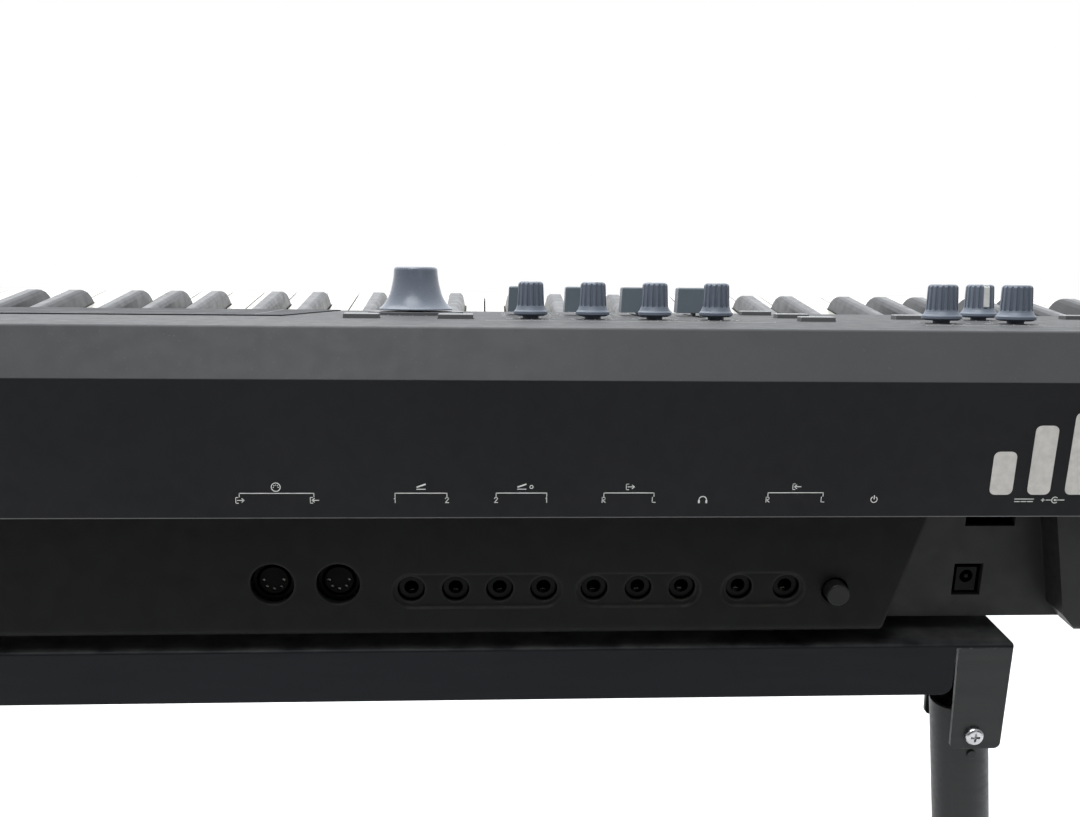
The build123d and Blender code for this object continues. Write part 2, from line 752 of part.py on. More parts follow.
def ribbed_knob(base, top_r, skirt_r, height, ribs, shaft_low=-6.0):
    """A fluted knob with a flared skirt, on a shaft that goes down through the panel."""
    with BuildPart() as knob:
        with BuildSketch(turning_plane(base)):
            with BuildLine():
                Polyline(
                    (0, shaft_low),
                    (COLLAR_R, shaft_low),
                    (COLLAR_R, KNOB_FOOT),
                    (skirt_r - 1.8, KNOB_FOOT),
                    (skirt_r, KNOB_FOOT + 0.9),
                    (skirt_r, KNOB_FOOT + 2.2),
                    (skirt_r - 0.9, KNOB_FOOT + 3.1),
                    (top_r + 1.1, KNOB_FOOT + 4.3),
                    (top_r + 0.7, KNOB_FOOT + 5.6),
                    (top_r + 0.2, height - 1.4),
                    (top_r - 0.3, height - 0.5),
                    (top_r - 1.2, height),
                    (0, height),
                    close=True,
                )
            make_face()
        revolve(axis=Axis(base.origin, base.z_dir))
        with BuildSketch(base.offset(height)):
            with PolarLocations(top_r + 0.5, ribs):
                Circle(0.8)
        extrude(amount=-(height - KNOB_FOOT - 5.0), mode=Mode.SUBTRACT)
    return knob.part


ASSIGN_KNOB = {"top_r": 6.3, "skirt_r": 8.8, "height": 19.2, "ribs": 14}
LARGE_KNOB = {"top_r": 7.2, "skirt_r": 9.9, "height": 19.8, "ribs": 16}
for i, x in enumerate(KNOB_X):
    save(f"assign_knob_{i + 1}", ribbed_knob(panel_plane(x, KNOB_D), **ASSIGN_KNOB))
for name, place in ROUND_KNOBS.items():
    save(name, ribbed_knob(panel_plane(*place), **LARGE_KNOB))

SUPER_KNOB_BASE_R = 20.8
SUPER_KNOB_FOOT = 2.6
SUPER_KNOB_TOP_R = 11.4
SUPER_KNOB_HEIGHT = 26.6
with BuildPart() as super_knob:
    with BuildSketch(turning_plane(panel_plane(*SUPER_KNOB))):
        with BuildLine():
            foot = Polyline(
                (0, -6),
                (COLLAR_R, -6),
                (COLLAR_R, SUPER_KNOB_FOOT),
                (SUPER_KNOB_BASE_R, SUPER_KNOB_FOOT),
                (SUPER_KNOB_BASE_R, SUPER_KNOB_FOOT + 0.6),
            )
            flare = Spline(
                foot @ 1,
                (17.0, 7.0),
                (14.3, 13.0),
                (12.9, 19.0),
                (SUPER_KNOB_TOP_R + 0.9, SUPER_KNOB_HEIGHT - 2.0),
            )
            shoulder = Spline(
                flare @ 1,
                (SUPER_KNOB_TOP_R + 0.4, SUPER_KNOB_HEIGHT - 0.6),
                (SUPER_KNOB_TOP_R - 0.9, SUPER_KNOB_HEIGHT),
            )
            Polyline(shoulder @ 1, (0, SUPER_KNOB_HEIGHT), (0, -6))
        make_face()
    revolve(axis=Axis(panel_plane(*SUPER_KNOB).origin, PANEL.z_dir))
save("super_knob", super_knob.part)

RING_OUTER_R = 27.0
with BuildPart() as super_knob_ring:
    with BuildSketch(panel_plane(*SUPER_KNOB)):
        Circle(RING_OUTER_R)
        Circle(SHAFT_HOLE_R, mode=Mode.SUBTRACT)
    extrude(amount=1.6)
save("super_knob_ring", super_knob_ring.part)

DIAL_R = 23.0
save(
    "data_dial",
    turned(
        panel_plane(*DIAL),
        [(0, -8), (5, -8), (5, 1), (DIAL_R, 1), (DIAL_R, 7.5), (DIAL_R - 1.5, 9), (14, 9), (12, 8), (0, 8)],
    ),
)

# pots, encoders and faders hang under the panel, around or below the shafts
POT_TOP = -7.0
pots = []
for x, d in [(x, KNOB_D) for x in KNOB_X] + list(ROUND_KNOBS.values()) + [SUPER_KNOB]:
    with BuildPart() as pot:
        with BuildSketch(panel_plane(x, d, POT_TOP)):
            Rectangle(11.5, 12.5)
        extrude(amount=-7)
    pots.append(pot.part)
with BuildPart() as dial_encoder:
    with BuildSketch(panel_plane(*DIAL, POT_TOP - 2)):
        Rectangle(16, 16)
    extrude(amount=-8)
pots.append(dial_encoder.part)

faders = []
for x in KNOB_X:
    with BuildPart() as fader:
        with BuildSketch(panel_plane(x, SLIDER_D, -9)):
            Rectangle(9.5, 66)
        extrude(amount=-6)
    faders.append(fader.part)
save_group("pots_and_faders", pots + faders)

CAP_SIZE = (21.0, 11.0)
CAP_LOW = 1.8
CAP_TOP = 16.2
for i, x in enumerate(KNOB_X):
    with BuildPart() as slider_cap:
        with BuildSketch(panel_plane(x, SLIDER_D, CAP_LOW)):
            Rectangle(*CAP_SIZE)
        extrude(amount=CAP_TOP - CAP_LOW, taper=3)
        cap_top = slider_cap.faces().sort_by(Axis.Z)[-1]
        fillet(cap_top.edges(), radius=1.0)
        with BuildSketch(panel_plane(x, SLIDER_D, CAP_LOW)):
            Rectangle(1.8, 6.0)
        extrude(amount=-(CAP_LOW + 8.5))
    save(f"slider_cap_{i + 1}", slider_cap.part)


def wheel(x, notch_angle):
    """A thumb wheel on a shaft along X, its rim grooved where the thumb sits."""
    centre = panel_plane(x, WHEEL_D, -WHEEL_AXIS_DEPTH).origin
    across = Plane(origin=centre, x_dir=(0, 1, 0), z_dir=(1, 0, 0))
    with BuildPart() as body:
        with BuildSketch(across.offset(-WHEEL_WIDTH / 2)):
            Circle(WHEEL_R)
        extrude(amount=WHEEL_WIDTH)
        chamfer(body.edges().filter_by(GeomType.CIRCLE), length=1.0)
        with BuildSketch(across.offset(-WHEEL_WIDTH / 2 - 4)):
            Circle(3.0)
        extrude(amount=WHEEL_WIDTH + 8)
        with BuildSketch(across.offset(-WHEEL_WIDTH / 2)):
            with Locations((40 * cos(radians(notch_angle)), 40 * sin(radians(notch_angle)))):
                Circle(15.0)
        extrude(amount=WHEEL_WIDTH, mode=Mode.SUBTRACT)
    return body.part


WHEEL_NOTCH_ANGLE = 90 + SLOPE
for name, x in WHEELS.items():
    save(name, wheel(x, WHEEL_NOTCH_ANGLE))

with BuildPart() as wheel_frame:
    frame_low = panel_plane(0, WHEEL_D, -WHEEL_AXIS_DEPTH)
    ears = [x + side_sign * (WHEEL_WIDTH / 2 + 2.5) for x in WHEELS.values() for side_sign in (-1, 1)]
    for x in ears:
        ear_origin = (x - STEEL / 2, frame_low.origin.Y, frame_low.origin.Z)
        ear = Plane(origin=ear_origin, x_dir=(0, 1, 0), z_dir=(1, 0, 0))
        with BuildSketch(ear):
            with Locations((0, -14)):
                Rectangle(20, 40)
            Circle(3.1, mode=Mode.SUBTRACT)
        extrude(amount=STEEL)
    with BuildSketch(Plane.XY.offset(frame_low.origin.Z - 34 - STEEL)):
        with Locations(((min(ears) + max(ears)) / 2, frame_low.origin.Y)):
            Rectangle(max(ears) - min(ears) + 20, 50)
    extrude(amount=STEEL)
save("wheel_frame", wheel_frame.part)

BUTTON_PROUD = 2.5
for name, places in button_places().items():
    width, depth = button_size(name)
    caps = []
    for x, d in places:
        with BuildPart() as button:
            with BuildSketch(panel_plane(x, d, -5)):
                Rectangle(width, depth)
            extrude(amount=5 + BUTTON_PROUD)
            button_top = button.faces().sort_by(Axis.Z)[-1]
            fillet(button_top.edges(), radius=0.6)
        caps.append(button.part)
    save_group(name, caps)

with BuildPart() as panel_board:
    with BuildSketch(PANEL.offset(-12)):
        with Locations(on_panel(430, 128), on_panel(-410, 158)):
            Rectangle(220, 100)
        with Locations(*[on_panel(*place) for place in ROUND_KNOBS.values()]):
            Rectangle(14, 14, mode=Mode.SUBTRACT)
    extrude(amount=-BOARD)
save_group("circuit_boards", [jack_board.part, main_board.part, contact_board.part, panel_board.part])

# ---- case feet and case screws ----
CASE_FOOT_X = 300.0
CASE_FOOT_D = 37.0
with BuildPart() as case_foot:
    with BuildSketch(Plane.XY.offset(STAND_TOP)):
        with Locations((-CASE_FOOT_X, REAR_Y - CASE_FOOT_D)):
            Circle(13)
    extrude(amount=BASE_H)
    chamfer(case_foot.edges().filter_by(GeomType.CIRCLE).sort_by(Axis.Z)[0], length=1.5)
save_group("case_feet", four_corners(case_foot.part))

case_screws = []
for x in CASE_SCREW_X:
    for d in CASE_SCREW_D:
        with BuildPart() as case_screw:
            with BuildSketch(Plane.XY.offset(STAND_TOP + BASE_H)):
                with Locations((x, REAR_Y - d)):
                    Circle(3.6)
            extrude(amount=-2)
            with BuildSketch(Plane.XY.offset(STAND_TOP + BASE_H)):
                with Locations((x, REAR_Y - d)):
                    Circle(CASE_SCREW_R)
            extrude(amount=8)
        case_screws.append(case_screw.part)
save_group("case_screws", case_screws)


# ---- stand: rear and front rails ----
with BuildPart() as rear_rail:
    with BuildSketch(Plane.XY.offset(STAND_TOP - STEEL)):
        with Locations((0, REAR_Y - RAIL_D - RAIL_WIDTH / 2)):
            Rectangle(2 * RAIL_HALF, RAIL_WIDTH)
    extrude(amount=STEEL)
    for flange_d in (RAIL_D, RAIL_D + RAIL_WIDTH - STEEL):
        with BuildSketch(rear_plane(flange_d)):
            with Locations((0, -(STEEL + RAIL_HEIGHT) / 2)):
                Rectangle(2 * FLANGE_HALF, RAIL_HEIGHT - STEEL)
        extrude(amount=-STEEL)
    low_corners = rear_rail.edges().filter_by(Axis.Y).group_by(Axis.Z)[0]
    fillet(low_corners, radius=5)
    rear_edge = rear_rail.edges().filter_by(Axis.X).group_by(Axis.Z)[-1].sort_by(Axis.Y)[-1]
    fillet(rear_edge, radius=1.5)
save_group("stand_rails", [rear_rail.part, rear_rail.part.mirror(Plane.XZ)])

END_PLATE_LENGTH = BODY_DEPTH - 2 * (RAIL_D + RAIL_WIDTH)
END_PLATE_FLANGE = 18.0
with BuildPart() as end_plate:
    with BuildSketch(Plane.XY.offset(STAND_TOP - STEEL)):
        with Locations((-RAIL_HALF + END_PLATE_WIDTH / 2, 0)):
            Rectangle(END_PLATE_WIDTH, END_PLATE_LENGTH)
    extrude(amount=STEEL)
    with BuildSketch(Plane.XY.offset(STAND_TOP - STEEL)):
        with Locations((-RAIL_HALF + STEEL / 2, 0)):
            Rectangle(STEEL, END_PLATE_LENGTH)
    extrude(amount=-END_PLATE_FLANGE)
    with BuildSketch(Plane.XY.offset(STAND_TOP - STEEL)):
        with Locations((-RAIL_HALF + END_PLATE_WIDTH - STEEL / 2, 0)):
            Rectangle(STEEL, END_PLATE_LENGTH)
    extrude(amount=-END_PLATE_FLANGE)
save_group("stand_end_plates", both_sides(end_plate.part))

# ---- stand: leg brackets, legs, bolts, floor runners and crossbar ----
LEG_D = RAIL_D + STEEL + LEG_GAP / 2
leg_centre = Vector(-LEG_BOLT_X, REAR_Y - LEG_D, STAND_TOP + LEG_BOLT_H)
leg_down = Vector(-sin(radians(LEG_TILT)), 0, -cos(radians(LEG_TILT)))
LEG_LENGTH = LEG_ABOVE_BOLT + (STAND_TOP + LEG_BOLT_H - RUNNER_Z) / cos(radians(LEG_TILT))
leg_plane = Plane(origin=leg_centre - leg_down * LEG_ABOVE_BOLT, x_dir=(0, 1, 0), z_dir=leg_down)


def leg_axis_x(z):
    """Where the left leg's axis is, z above the floor."""
    return -(LEG_BOLT_X + (STAND_TOP + LEG_BOLT_H - z) * tan(radians(LEG_TILT)))


RUNNER_X = leg_axis_x(RUNNER_Z)
runner_front = Plane(origin=(RUNNER_X, -RUNNER_HALF, RUNNER_Z), x_dir=(-1, 0, 0), z_dir=(0, 1, 0))
runner_rear = Plane(origin=(RUNNER_X, RUNNER_HALF, RUNNER_Z), x_dir=(-1, 0, 0), z_dir=(0, 1, 0))

BRACKET_OUTLINE = ((389.5, -STEEL), (416.0, -STEEL), (416.6, BRACKET_LOW_H), (391.9, BRACKET_LOW_H))
with BuildPart() as leg_bracket:
    for plate_d in (RAIL_D, RAIL_D + STEEL + LEG_GAP):
        with BuildSketch(rear_plane(plate_d)):
            with BuildLine():
                Polyline(*BRACKET_OUTLINE, close=True)
            make_face()
        extrude(amount=-STEEL)
    low_corners = leg_bracket.edges().filter_by(Axis.Y).group_by(Axis.Z)[0]
    fillet(low_corners, radius=3)
    with BuildSketch(Plane.XY.offset(STAND_TOP - 2 * STEEL)):
        with Locations((-(393.0 + 415.0) / 2, REAR_Y - LEG_D)):
            Rectangle(22, LEG_GAP)
    extrude(amount=STEEL)
    with BuildSketch(rear_plane(RAIL_D)):
        with Locations((LEG_BOLT_X, LEG_BOLT_H)):
            Circle(BOLT_R + 0.1)
    extrude(amount=-(LEG_GAP + 3 * STEEL), mode=Mode.SUBTRACT)
save_group("leg_brackets", both_sides(leg_bracket.part))

with BuildPart() as leg:
    with BuildSketch(leg_plane):
        Circle(LEG_R)
        Circle(LEG_R - LEG_WALL, mode=Mode.SUBTRACT)
    extrude(amount=LEG_LENGTH)
    with BuildSketch(rear_plane(RAIL_D)):
        with Locations((LEG_BOLT_X, LEG_BOLT_H)):
            Circle(BOLT_R + 0.1)
    extrude(amount=-(LEG_GAP + 3 * STEEL), mode=Mode.SUBTRACT)
    with BuildSketch(runner_front):
        Circle(RUNNER_R)
    extrude(amount=2 * RUNNER_HALF, mode=Mode.SUBTRACT)
save_group("stand_legs", both_sides(leg.part))

# a pin in each leg just under its bracket, which stops the leg from sliding up
PIN_BELOW_BOLT = 12.5
pin_centre = leg_centre + leg_down * PIN_BELOW_BOLT
with BuildPart() as lock_pin:
    with BuildSketch(Plane(origin=pin_centre, x_dir=(-1, 0, 0), z_dir=(0, 1, 0))):
        Circle(2.2)
    extrude(amount=LEG_R + 0.9)
    with BuildSketch(leg_plane):
        Circle(LEG_R)
    extrude(amount=LEG_LENGTH, mode=Mode.SUBTRACT)
save_group("leg_pins", both_sides(lock_pin.part))

HEAD_R = 4.6
with BuildPart() as leg_bolt:
    with BuildSketch(rear_plane(RAIL_D)):
        with Locations((LEG_BOLT_X, LEG_BOLT_H)):
            Circle(HEAD_R)
    extrude(amount=2.6)
    head_rim = leg_bolt.faces().sort_by(Axis.Y)[-1].edges()
    fillet(head_rim, radius=1.6)
    with BuildSketch(rear_plane(RAIL_D - 2.6)):
        with Locations((LEG_BOLT_X, LEG_BOLT_H)):
            Rectangle(4.6, 1.1)
            Rectangle(1.1, 4.6)
    extrude(amount=-1.3, mode=Mode.SUBTRACT)
    with BuildSketch(rear_plane(RAIL_D)):
        with Locations((LEG_BOLT_X, LEG_BOLT_H)):
            Circle(BOLT_R)
    extrude(amount=-(LEG_GAP + 2 * STEEL + 6))

with BuildPart() as leg_nut:
    with BuildSketch(rear_plane(RAIL_D + 2 * STEEL + LEG_GAP)):
        with Locations((LEG_BOLT_X, LEG_BOLT_H)):
            RegularPolygon(radius=5.8, side_count=6)
            Circle(BOLT_R + 0.05, mode=Mode.SUBTRACT)
    extrude(amount=-4.5)
save_group("leg_fasteners", both_sides(leg_bolt.part) + both_sides(leg_nut.part))

# each leg stands on a floor runner, a tube from front to rear with plugged ends and two rubber pads
with BuildPart() as runner:
    with BuildSketch(runner_front):
        Circle(RUNNER_R)
        Circle(RUNNER_R - LEG_WALL, mode=Mode.SUBTRACT)
    extrude(amount=2 * RUNNER_HALF)
save_group("floor_runners", both_sides(runner.part))

with BuildPart() as runner_plug:
    with BuildSketch(runner_rear):
        Circle(RUNNER_R + 0.6)
    extrude(amount=4)
    plug_rim = runner_plug.faces().sort_by(Axis.Y)[-1].edges()
    fillet(plug_rim, radius=2.5)
    with BuildSketch(runner_rear):
        Circle(RUNNER_R - LEG_WALL)
    extrude(amount=-14)
save_group("runner_plugs", four_corners(runner_plug.part))

with BuildPart() as runner_pad:
    with BuildSketch(Plane.XY):
        with Locations((RUNNER_X, RUNNER_HALF - 22)):
            RectangleRounded(30, 34, 4)
    extrude(amount=RUNNER_Z - 4)
    with BuildSketch(runner_front):
        Circle(RUNNER_R)
    extrude(amount=2 * RUNNER_HALF, mode=Mode.SUBTRACT)
save_group("runner_pads", four_corners(runner_pad.part))

crossbar_x = leg_axis_x(CROSSBAR_Z)
crossbar_end = Plane(origin=(crossbar_x, REAR_Y - LEG_D, CROSSBAR_Z), x_dir=(0, 1, 0), z_dir=(1, 0, 0))
with BuildPart() as crossbar:
    with BuildSketch(crossbar_end):
        Circle(CROSSBAR_R)
        Circle(CROSSBAR_R - LEG_WALL, mode=Mode.SUBTRACT)
    extrude(amount=-crossbar_x)
    with BuildSketch(leg_plane):
        Circle(LEG_R)
    extrude(amount=LEG_LENGTH, mode=Mode.SUBTRACT)
    mirror(about=Plane.YZ)
save("stand_crossbar", crossbar.part)
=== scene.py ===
"""The looks of the stage piano on its stand: materials, printed marks, small fittings, light and camera."""

import json
import math

import bmesh
import bpy
from mathutils import Matrix, Vector


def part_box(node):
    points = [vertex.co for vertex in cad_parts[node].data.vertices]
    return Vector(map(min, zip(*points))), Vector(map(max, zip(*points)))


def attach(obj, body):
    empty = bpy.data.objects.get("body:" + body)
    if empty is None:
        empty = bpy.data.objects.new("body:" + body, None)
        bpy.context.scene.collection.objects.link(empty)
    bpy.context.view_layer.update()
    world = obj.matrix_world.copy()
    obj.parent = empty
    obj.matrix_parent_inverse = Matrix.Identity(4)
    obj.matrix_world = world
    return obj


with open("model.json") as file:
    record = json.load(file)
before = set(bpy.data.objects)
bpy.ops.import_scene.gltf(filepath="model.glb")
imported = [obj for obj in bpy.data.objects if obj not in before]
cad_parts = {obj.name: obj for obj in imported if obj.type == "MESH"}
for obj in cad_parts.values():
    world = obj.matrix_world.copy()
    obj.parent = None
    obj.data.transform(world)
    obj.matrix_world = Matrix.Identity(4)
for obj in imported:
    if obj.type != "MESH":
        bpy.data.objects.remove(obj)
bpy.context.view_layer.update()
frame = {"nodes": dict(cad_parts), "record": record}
NODES = frame["nodes"]

# ---- shared measures, read from the frame ----
REAR_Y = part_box("upper_case")[1].y
STAND_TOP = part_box("case_feet")[0].z
SLOPE = math.radians(8.7)
PANEL_REAR_D = 0.0146
PANEL_REAR = Vector((0, REAR_Y - PANEL_REAR_D, STAND_TOP + 0.1507))
PANEL_NORMAL = Vector((0, -math.sin(SLOPE), math.cos(SLOPE)))
PANEL_BACK = Vector((0, math.cos(SLOPE), math.sin(SLOPE)))
RIGHT = Vector((1, 0, 0))
LEFT = Vector((-1, 0, 0))
UP = Vector((0, 0, 1))


def panel_point(x, d):
    """A point on the control panel, d metres in front of the rear band."""
    return PANEL_REAR + RIGHT * x - PANEL_BACK * ((d - PANEL_REAR_D) / math.cos(SLOPE))


# ---- materials ----
class Graph:
    """A node material under construction."""

    def __init__(self, name):
        self.material = bpy.data.materials.new(name)
        self.material.use_nodes = True
        self.nodes = self.material.node_tree.nodes
        self.links = self.material.node_tree.links
        self.shader = self.nodes["Principled BSDF"]
        self.place = self.nodes.new("ShaderNodeTexCoord").outputs["Object"]

    def add(self, kind, inputs=None, **settings):
        node = self.nodes.new(kind)
        for key, value in settings.items():
            setattr(node, key, value)
        for key, value in (inputs or {}).items():
            self.feed(value, node.inputs[key])
        return node

    def feed(self, value, socket):
        if isinstance(value, bpy.types.NodeSocket):
            self.links.new(value, socket)
        else:
            socket.default_value = value

    def noise(self, scale, detail=3.0, stretch=(1, 1, 1), roughness=0.55):
        mapping = self.add("ShaderNodeMapping", {"Vector": self.place, "Scale": stretch})
        source = {"Vector": mapping.outputs[0], "Scale": scale, "Detail": detail, "Roughness": roughness}
        return self.add("ShaderNodeTexNoise", source).outputs["Fac"]

    def between(self, value, low, high, from_low=0.3, from_high=0.7):
        source = {"Value": value, "From Min": from_low, "From Max": from_high, "To Min": low, "To Max": high}
        return self.add("ShaderNodeMapRange", source).outputs["Result"]

    def mix(self, factor, a, b):
        node = self.add("ShaderNodeMix", data_type="RGBA")
        for value, socket in ((factor, node.inputs[0]), (a, node.inputs[6]), (b, node.inputs[7])):
            self.feed(value, socket)
        return node.outputs[2]

    def math(self, operation, a, b=0.0):
        return self.add("ShaderNodeMath", {0: a, 1: b}, operation=operation).outputs[0]

    def bevel(self, radius):
        return self.add("ShaderNodeBevel", {"Radius": radius}, samples=4).outputs["Normal"]

    def edge(self, rounded):
        """About 1 along sharp edges and 0 on faces."""
        true_normal = self.add("ShaderNodeNewGeometry").outputs["True Normal"]
        dot = self.add("ShaderNodeVectorMath", {0: rounded, 1: true_normal}, operation="DOT_PRODUCT")
        return self.between(dot.outputs["Value"], 1.0, 0.0, 0.75, 0.985)

    def facing_up(self):
        normal = self.add("ShaderNodeNewGeometry").outputs["Normal"]
        return self.add("ShaderNodeSeparateXYZ", {0: normal}).outputs["Z"]


def rgba(colour, gain=1.0):
    return (*(min(1.0, c * gain) for c in colour), 1.0)


def moulded(name, colour, rough=0.55, grain=1600.0, depth=0.25, specular=0.4, edge_wear_and_highlight=0.5, dust=0.0, painted_top_sheen=0.0,
            round_mm=0.5, edge_wear_and_highlight_gain=2.4, painted_underside_highlight=0.0):
    """Moulded plastic: fine grain, faint blotches, lighter edges that are partly wear and partly painted
    highlight, dust on what faces up, a painted sheen that lightens what faces up, and a painted highlight
    along downward-facing rounding.
    """
    g = Graph(name)
    blotch = g.noise(9.0, 4.0)
    fine = g.noise(grain, 2.0)
    tone = g.mix(g.between(blotch, 0.0, 1.0), rgba(colour, 0.88), rgba(colour, 1.12))
    tone = g.mix(g.between(fine, 0.0, 0.25, 0.5, 0.8), tone, rgba(colour, 1.5))
    rounded = g.bevel(round_mm / 1000)
    scuffs = g.between(g.noise(140.0, 5.0), 0.0, 1.0, 0.35, 0.65)
    # lighter edges: scuffed wear, strengthened into a painted highlight line along the edges
    wear_and_edge_highlight_mask = g.math("MULTIPLY", g.edge(rounded), g.between(scuffs, 0.4, 1.0, 0.0, 1.0))
    tone = g.mix(g.math("MULTIPLY", wear_and_edge_highlight_mask, edge_wear_and_highlight), tone, rgba(colour, edge_wear_and_highlight_gain))
    # painted sheen: what faces up is blended toward pale grey, as if catching the light from above
    if painted_top_sheen:
        tone = g.mix(g.between(g.facing_up(), 0.0, painted_top_sheen, 0.25, 0.7), tone, (0.40, 0.41, 0.42, 1))
    # painted highlight: downward-facing rounding is lightened, as if catching light from the floor below
    if painted_underside_highlight:
        underside_highlight_mask = g.math("MULTIPLY", g.between(g.facing_up(), painted_underside_highlight, 0.0, -0.4, -0.05),
                                g.between(g.facing_up(), 0.0, 1.0, -0.995, -0.95))
        tone = g.mix(underside_highlight_mask, tone, (0.2, 0.2, 0.2, 1))
    if dust:
        specks = g.between(g.noise(900.0, 4.0, roughness=0.75), 0.0, 1.0, 0.62, 0.72)
        film = g.between(g.noise(5.0, 5.0), 0.0, 0.5, 0.4, 0.8)
        on_top = g.between(g.facing_up(), 0.0, dust, 0.3, 0.9)
        amount = g.math("MULTIPLY", g.math("ADD", specks, film), on_top)
        tone = g.mix(amount, tone, (0.42, 0.41, 0.39, 1))
    g.links.new(tone, g.shader.inputs["Base Color"])
    g.links.new(g.between(scuffs, rough - 0.06, rough + 0.08, 0.0, 1.0), g.shader.inputs["Roughness"])
    g.shader.inputs["Specular IOR Level"].default_value = specular
    relief = {"Height": fine, "Normal": rounded, "Strength": depth, "Distance": 0.00006}
    bump = g.add("ShaderNodeBump", relief)
    g.links.new(bump.outputs[0], g.shader.inputs["Normal"])
    return g.material


def powder_coat(name, colour, specular=0.3):
    """Black powder coat over steel: orange peel, small chips at the edges and faint drag marks."""
    g = Graph(name)
    peel = g.noise(900.0, 2.0)
    blotch = g.noise(6.0, 4.0)
    rounded = g.bevel(0.0006)
    chips = g.between(g.noise(260.0, 4.0), 0.0, 1.0, 0.56, 0.62)
    tone = g.mix(g.between(blotch, 0.0, 1.0), rgba(colour, 0.85), rgba(colour, 1.2))
    tone = g.mix(g.math("MULTIPLY", g.edge(rounded), 0.35), tone, rgba(colour, 2.2))
    chipped = g.math("MULTIPLY", g.math("MULTIPLY", chips, g.edge(rounded)), 0.7)
    tone = g.mix(chipped, tone, (0.16, 0.16, 0.16, 1))
    film = g.between(g.noise(60.0, 6.0), 0.0, 1.0)
    dusty = g.math("MULTIPLY", film, g.between(g.facing_up(), 0.0, 0.12, 0.3, 0.9))
    tone = g.mix(dusty, tone, (0.4, 0.39, 0.37, 1))
    g.links.new(tone, g.shader.inputs["Base Color"])
    g.shader.inputs["Specular IOR Level"].default_value = specular
    drag = g.noise(30.0, 4.0, stretch=(1, 12, 12))
    g.links.new(g.between(drag, 0.36, 0.52), g.shader.inputs["Roughness"])
    bump = g.add("ShaderNodeBump", {"Height": peel, "Normal": rounded, "Strength": 0.35, "Distance": 0.00012})
    g.links.new(bump.outputs[0], g.shader.inputs["Normal"])
    return g.material


def plated(name, colour, rough=0.3, round_mm=0.3):
    """Zinc-plated or bright steel: brushed lines and dull spots."""
    g = Graph(name)
    lines = g.noise(420.0, 3.0, stretch=(1, 1, 9))
    spots = g.noise(55.0, 5.0)
    tone = g.mix(g.between(spots, 0.0, 1.0, 0.35, 0.75), rgba(colour), rgba(colour, 0.55))
    g.links.new(tone, g.shader.inputs["Base Color"])
    g.shader.inputs["Metallic"].default_value = 1.0
    g.links.new(g.between(lines, rough - 0.08, rough + 0.15), g.shader.inputs["Roughness"])
    rounded = g.bevel(round_mm / 1000)
    bump = g.add("ShaderNodeBump", {"Height": lines, "Normal": rounded, "Strength": 0.2, "Distance": 0.00005})
    g.links.new(bump.outputs[0], g.shader.inputs["Normal"])
    return g.material


def circuit_board(name):
    """Green solder mask with paler tracks and rows of bright pads."""
    g = Graph(name)
    tracks = g.add("ShaderNodeTexBrick", {"Vector": g.place, "Scale": 90.0, "Mortar Size": 0.03})
    tone = g.mix(tracks.outputs["Fac"], (0.012, 0.09, 0.035, 1), (0.03, 0.2, 0.09, 1))
    pads = g.add("ShaderNodeTexVoronoi", {"Vector": g.place, "Scale": 220.0, "Randomness": 0.15})
    tone = g.mix(g.between(pads.outputs["Distance"], 1.0, 0.0, 0.16, 0.2), tone, (0.6, 0.58, 0.5, 1))
    g.links.new(tone, g.shader.inputs["Base Color"])
    g.shader.inputs["Roughness"].default_value = 0.35
    return g.material


def key_gloss(name, colour):
    """A key's polished moulding: a nearly even colour, with fine wipe marks in the gloss."""
    g = Graph(name)
    tone = g.mix(g.between(g.noise(14.0, 4.0), 0.0, 1.0), rgba(colour, 0.95), rgba(colour, 1.03))
    g.links.new(tone, g.shader.inputs["Base Color"])
    wipes = g.noise(70.0, 5.0, stretch=(1, 0.2, 1))
    g.links.new(g.between(wipes, 0.16, 0.3), g.shader.inputs["Roughness"])
    g.links.new(g.bevel(0.0008), g.shader.inputs["Normal"])
    g.shader.inputs["Coat Weight"].default_value = 0.3
    return g.material


def smoked_glass(name):
    """The display's glossy cover over a dark, faintly tinted screen."""
    g = Graph(name)
    tone = g.mix(g.between(g.noise(6.0, 3.0), 0.0, 1.0), (0.006, 0.007, 0.009, 1), (0.011, 0.012, 0.015, 1))
    g.links.new(tone, g.shader.inputs["Base Color"])
    prints = g.noise(45.0, 6.0)
    g.links.new(g.between(prints, 0.44, 0.56), g.shader.inputs["Roughness"])
    g.shader.inputs["Specular IOR Level"].default_value = 0.12
    g.links.new(g.bevel(0.0004), g.shader.inputs["Normal"])
    return g.material


def ink(name, colour, rough=0.45):
    """Screen-printed ink: slightly uneven cover and a fine edge grain."""
    g = Graph(name)
    patches = g.between(g.noise(300.0, 4.0), 0.0, 1.0, 0.3, 0.7)
    tone = g.mix(patches, rgba(colour, 0.86), rgba(colour, 1.06))
    g.links.new(tone, g.shader.inputs["Base Color"])
    g.links.new(g.between(patches, rough, rough + 0.12, 0.0, 1.0), g.shader.inputs["Roughness"])
    return g.material


def rubber(name, colour):
    """Rubber: dull, with a coarse grain and a pale bloom."""
    g = Graph(name)
    bloom = g.between(g.noise(35.0, 5.0), 0.0, 1.0)
    tone = g.mix(bloom, rgba(colour, 0.8), rgba(colour, 1.9))
    g.links.new(tone, g.shader.inputs["Base Color"])
    g.links.new(g.between(bloom, 0.7, 0.88, 0.0, 1.0), g.shader.inputs["Roughness"])
    bump = g.add("ShaderNodeBump", {"Height": g.noise(700.0, 3.0), "Strength": 0.4, "Distance": 0.0001})
    g.links.new(g.bevel(0.0008), bump.inputs["Normal"])
    g.links.new(bump.outputs[0], g.shader.inputs["Normal"])
    return g.material
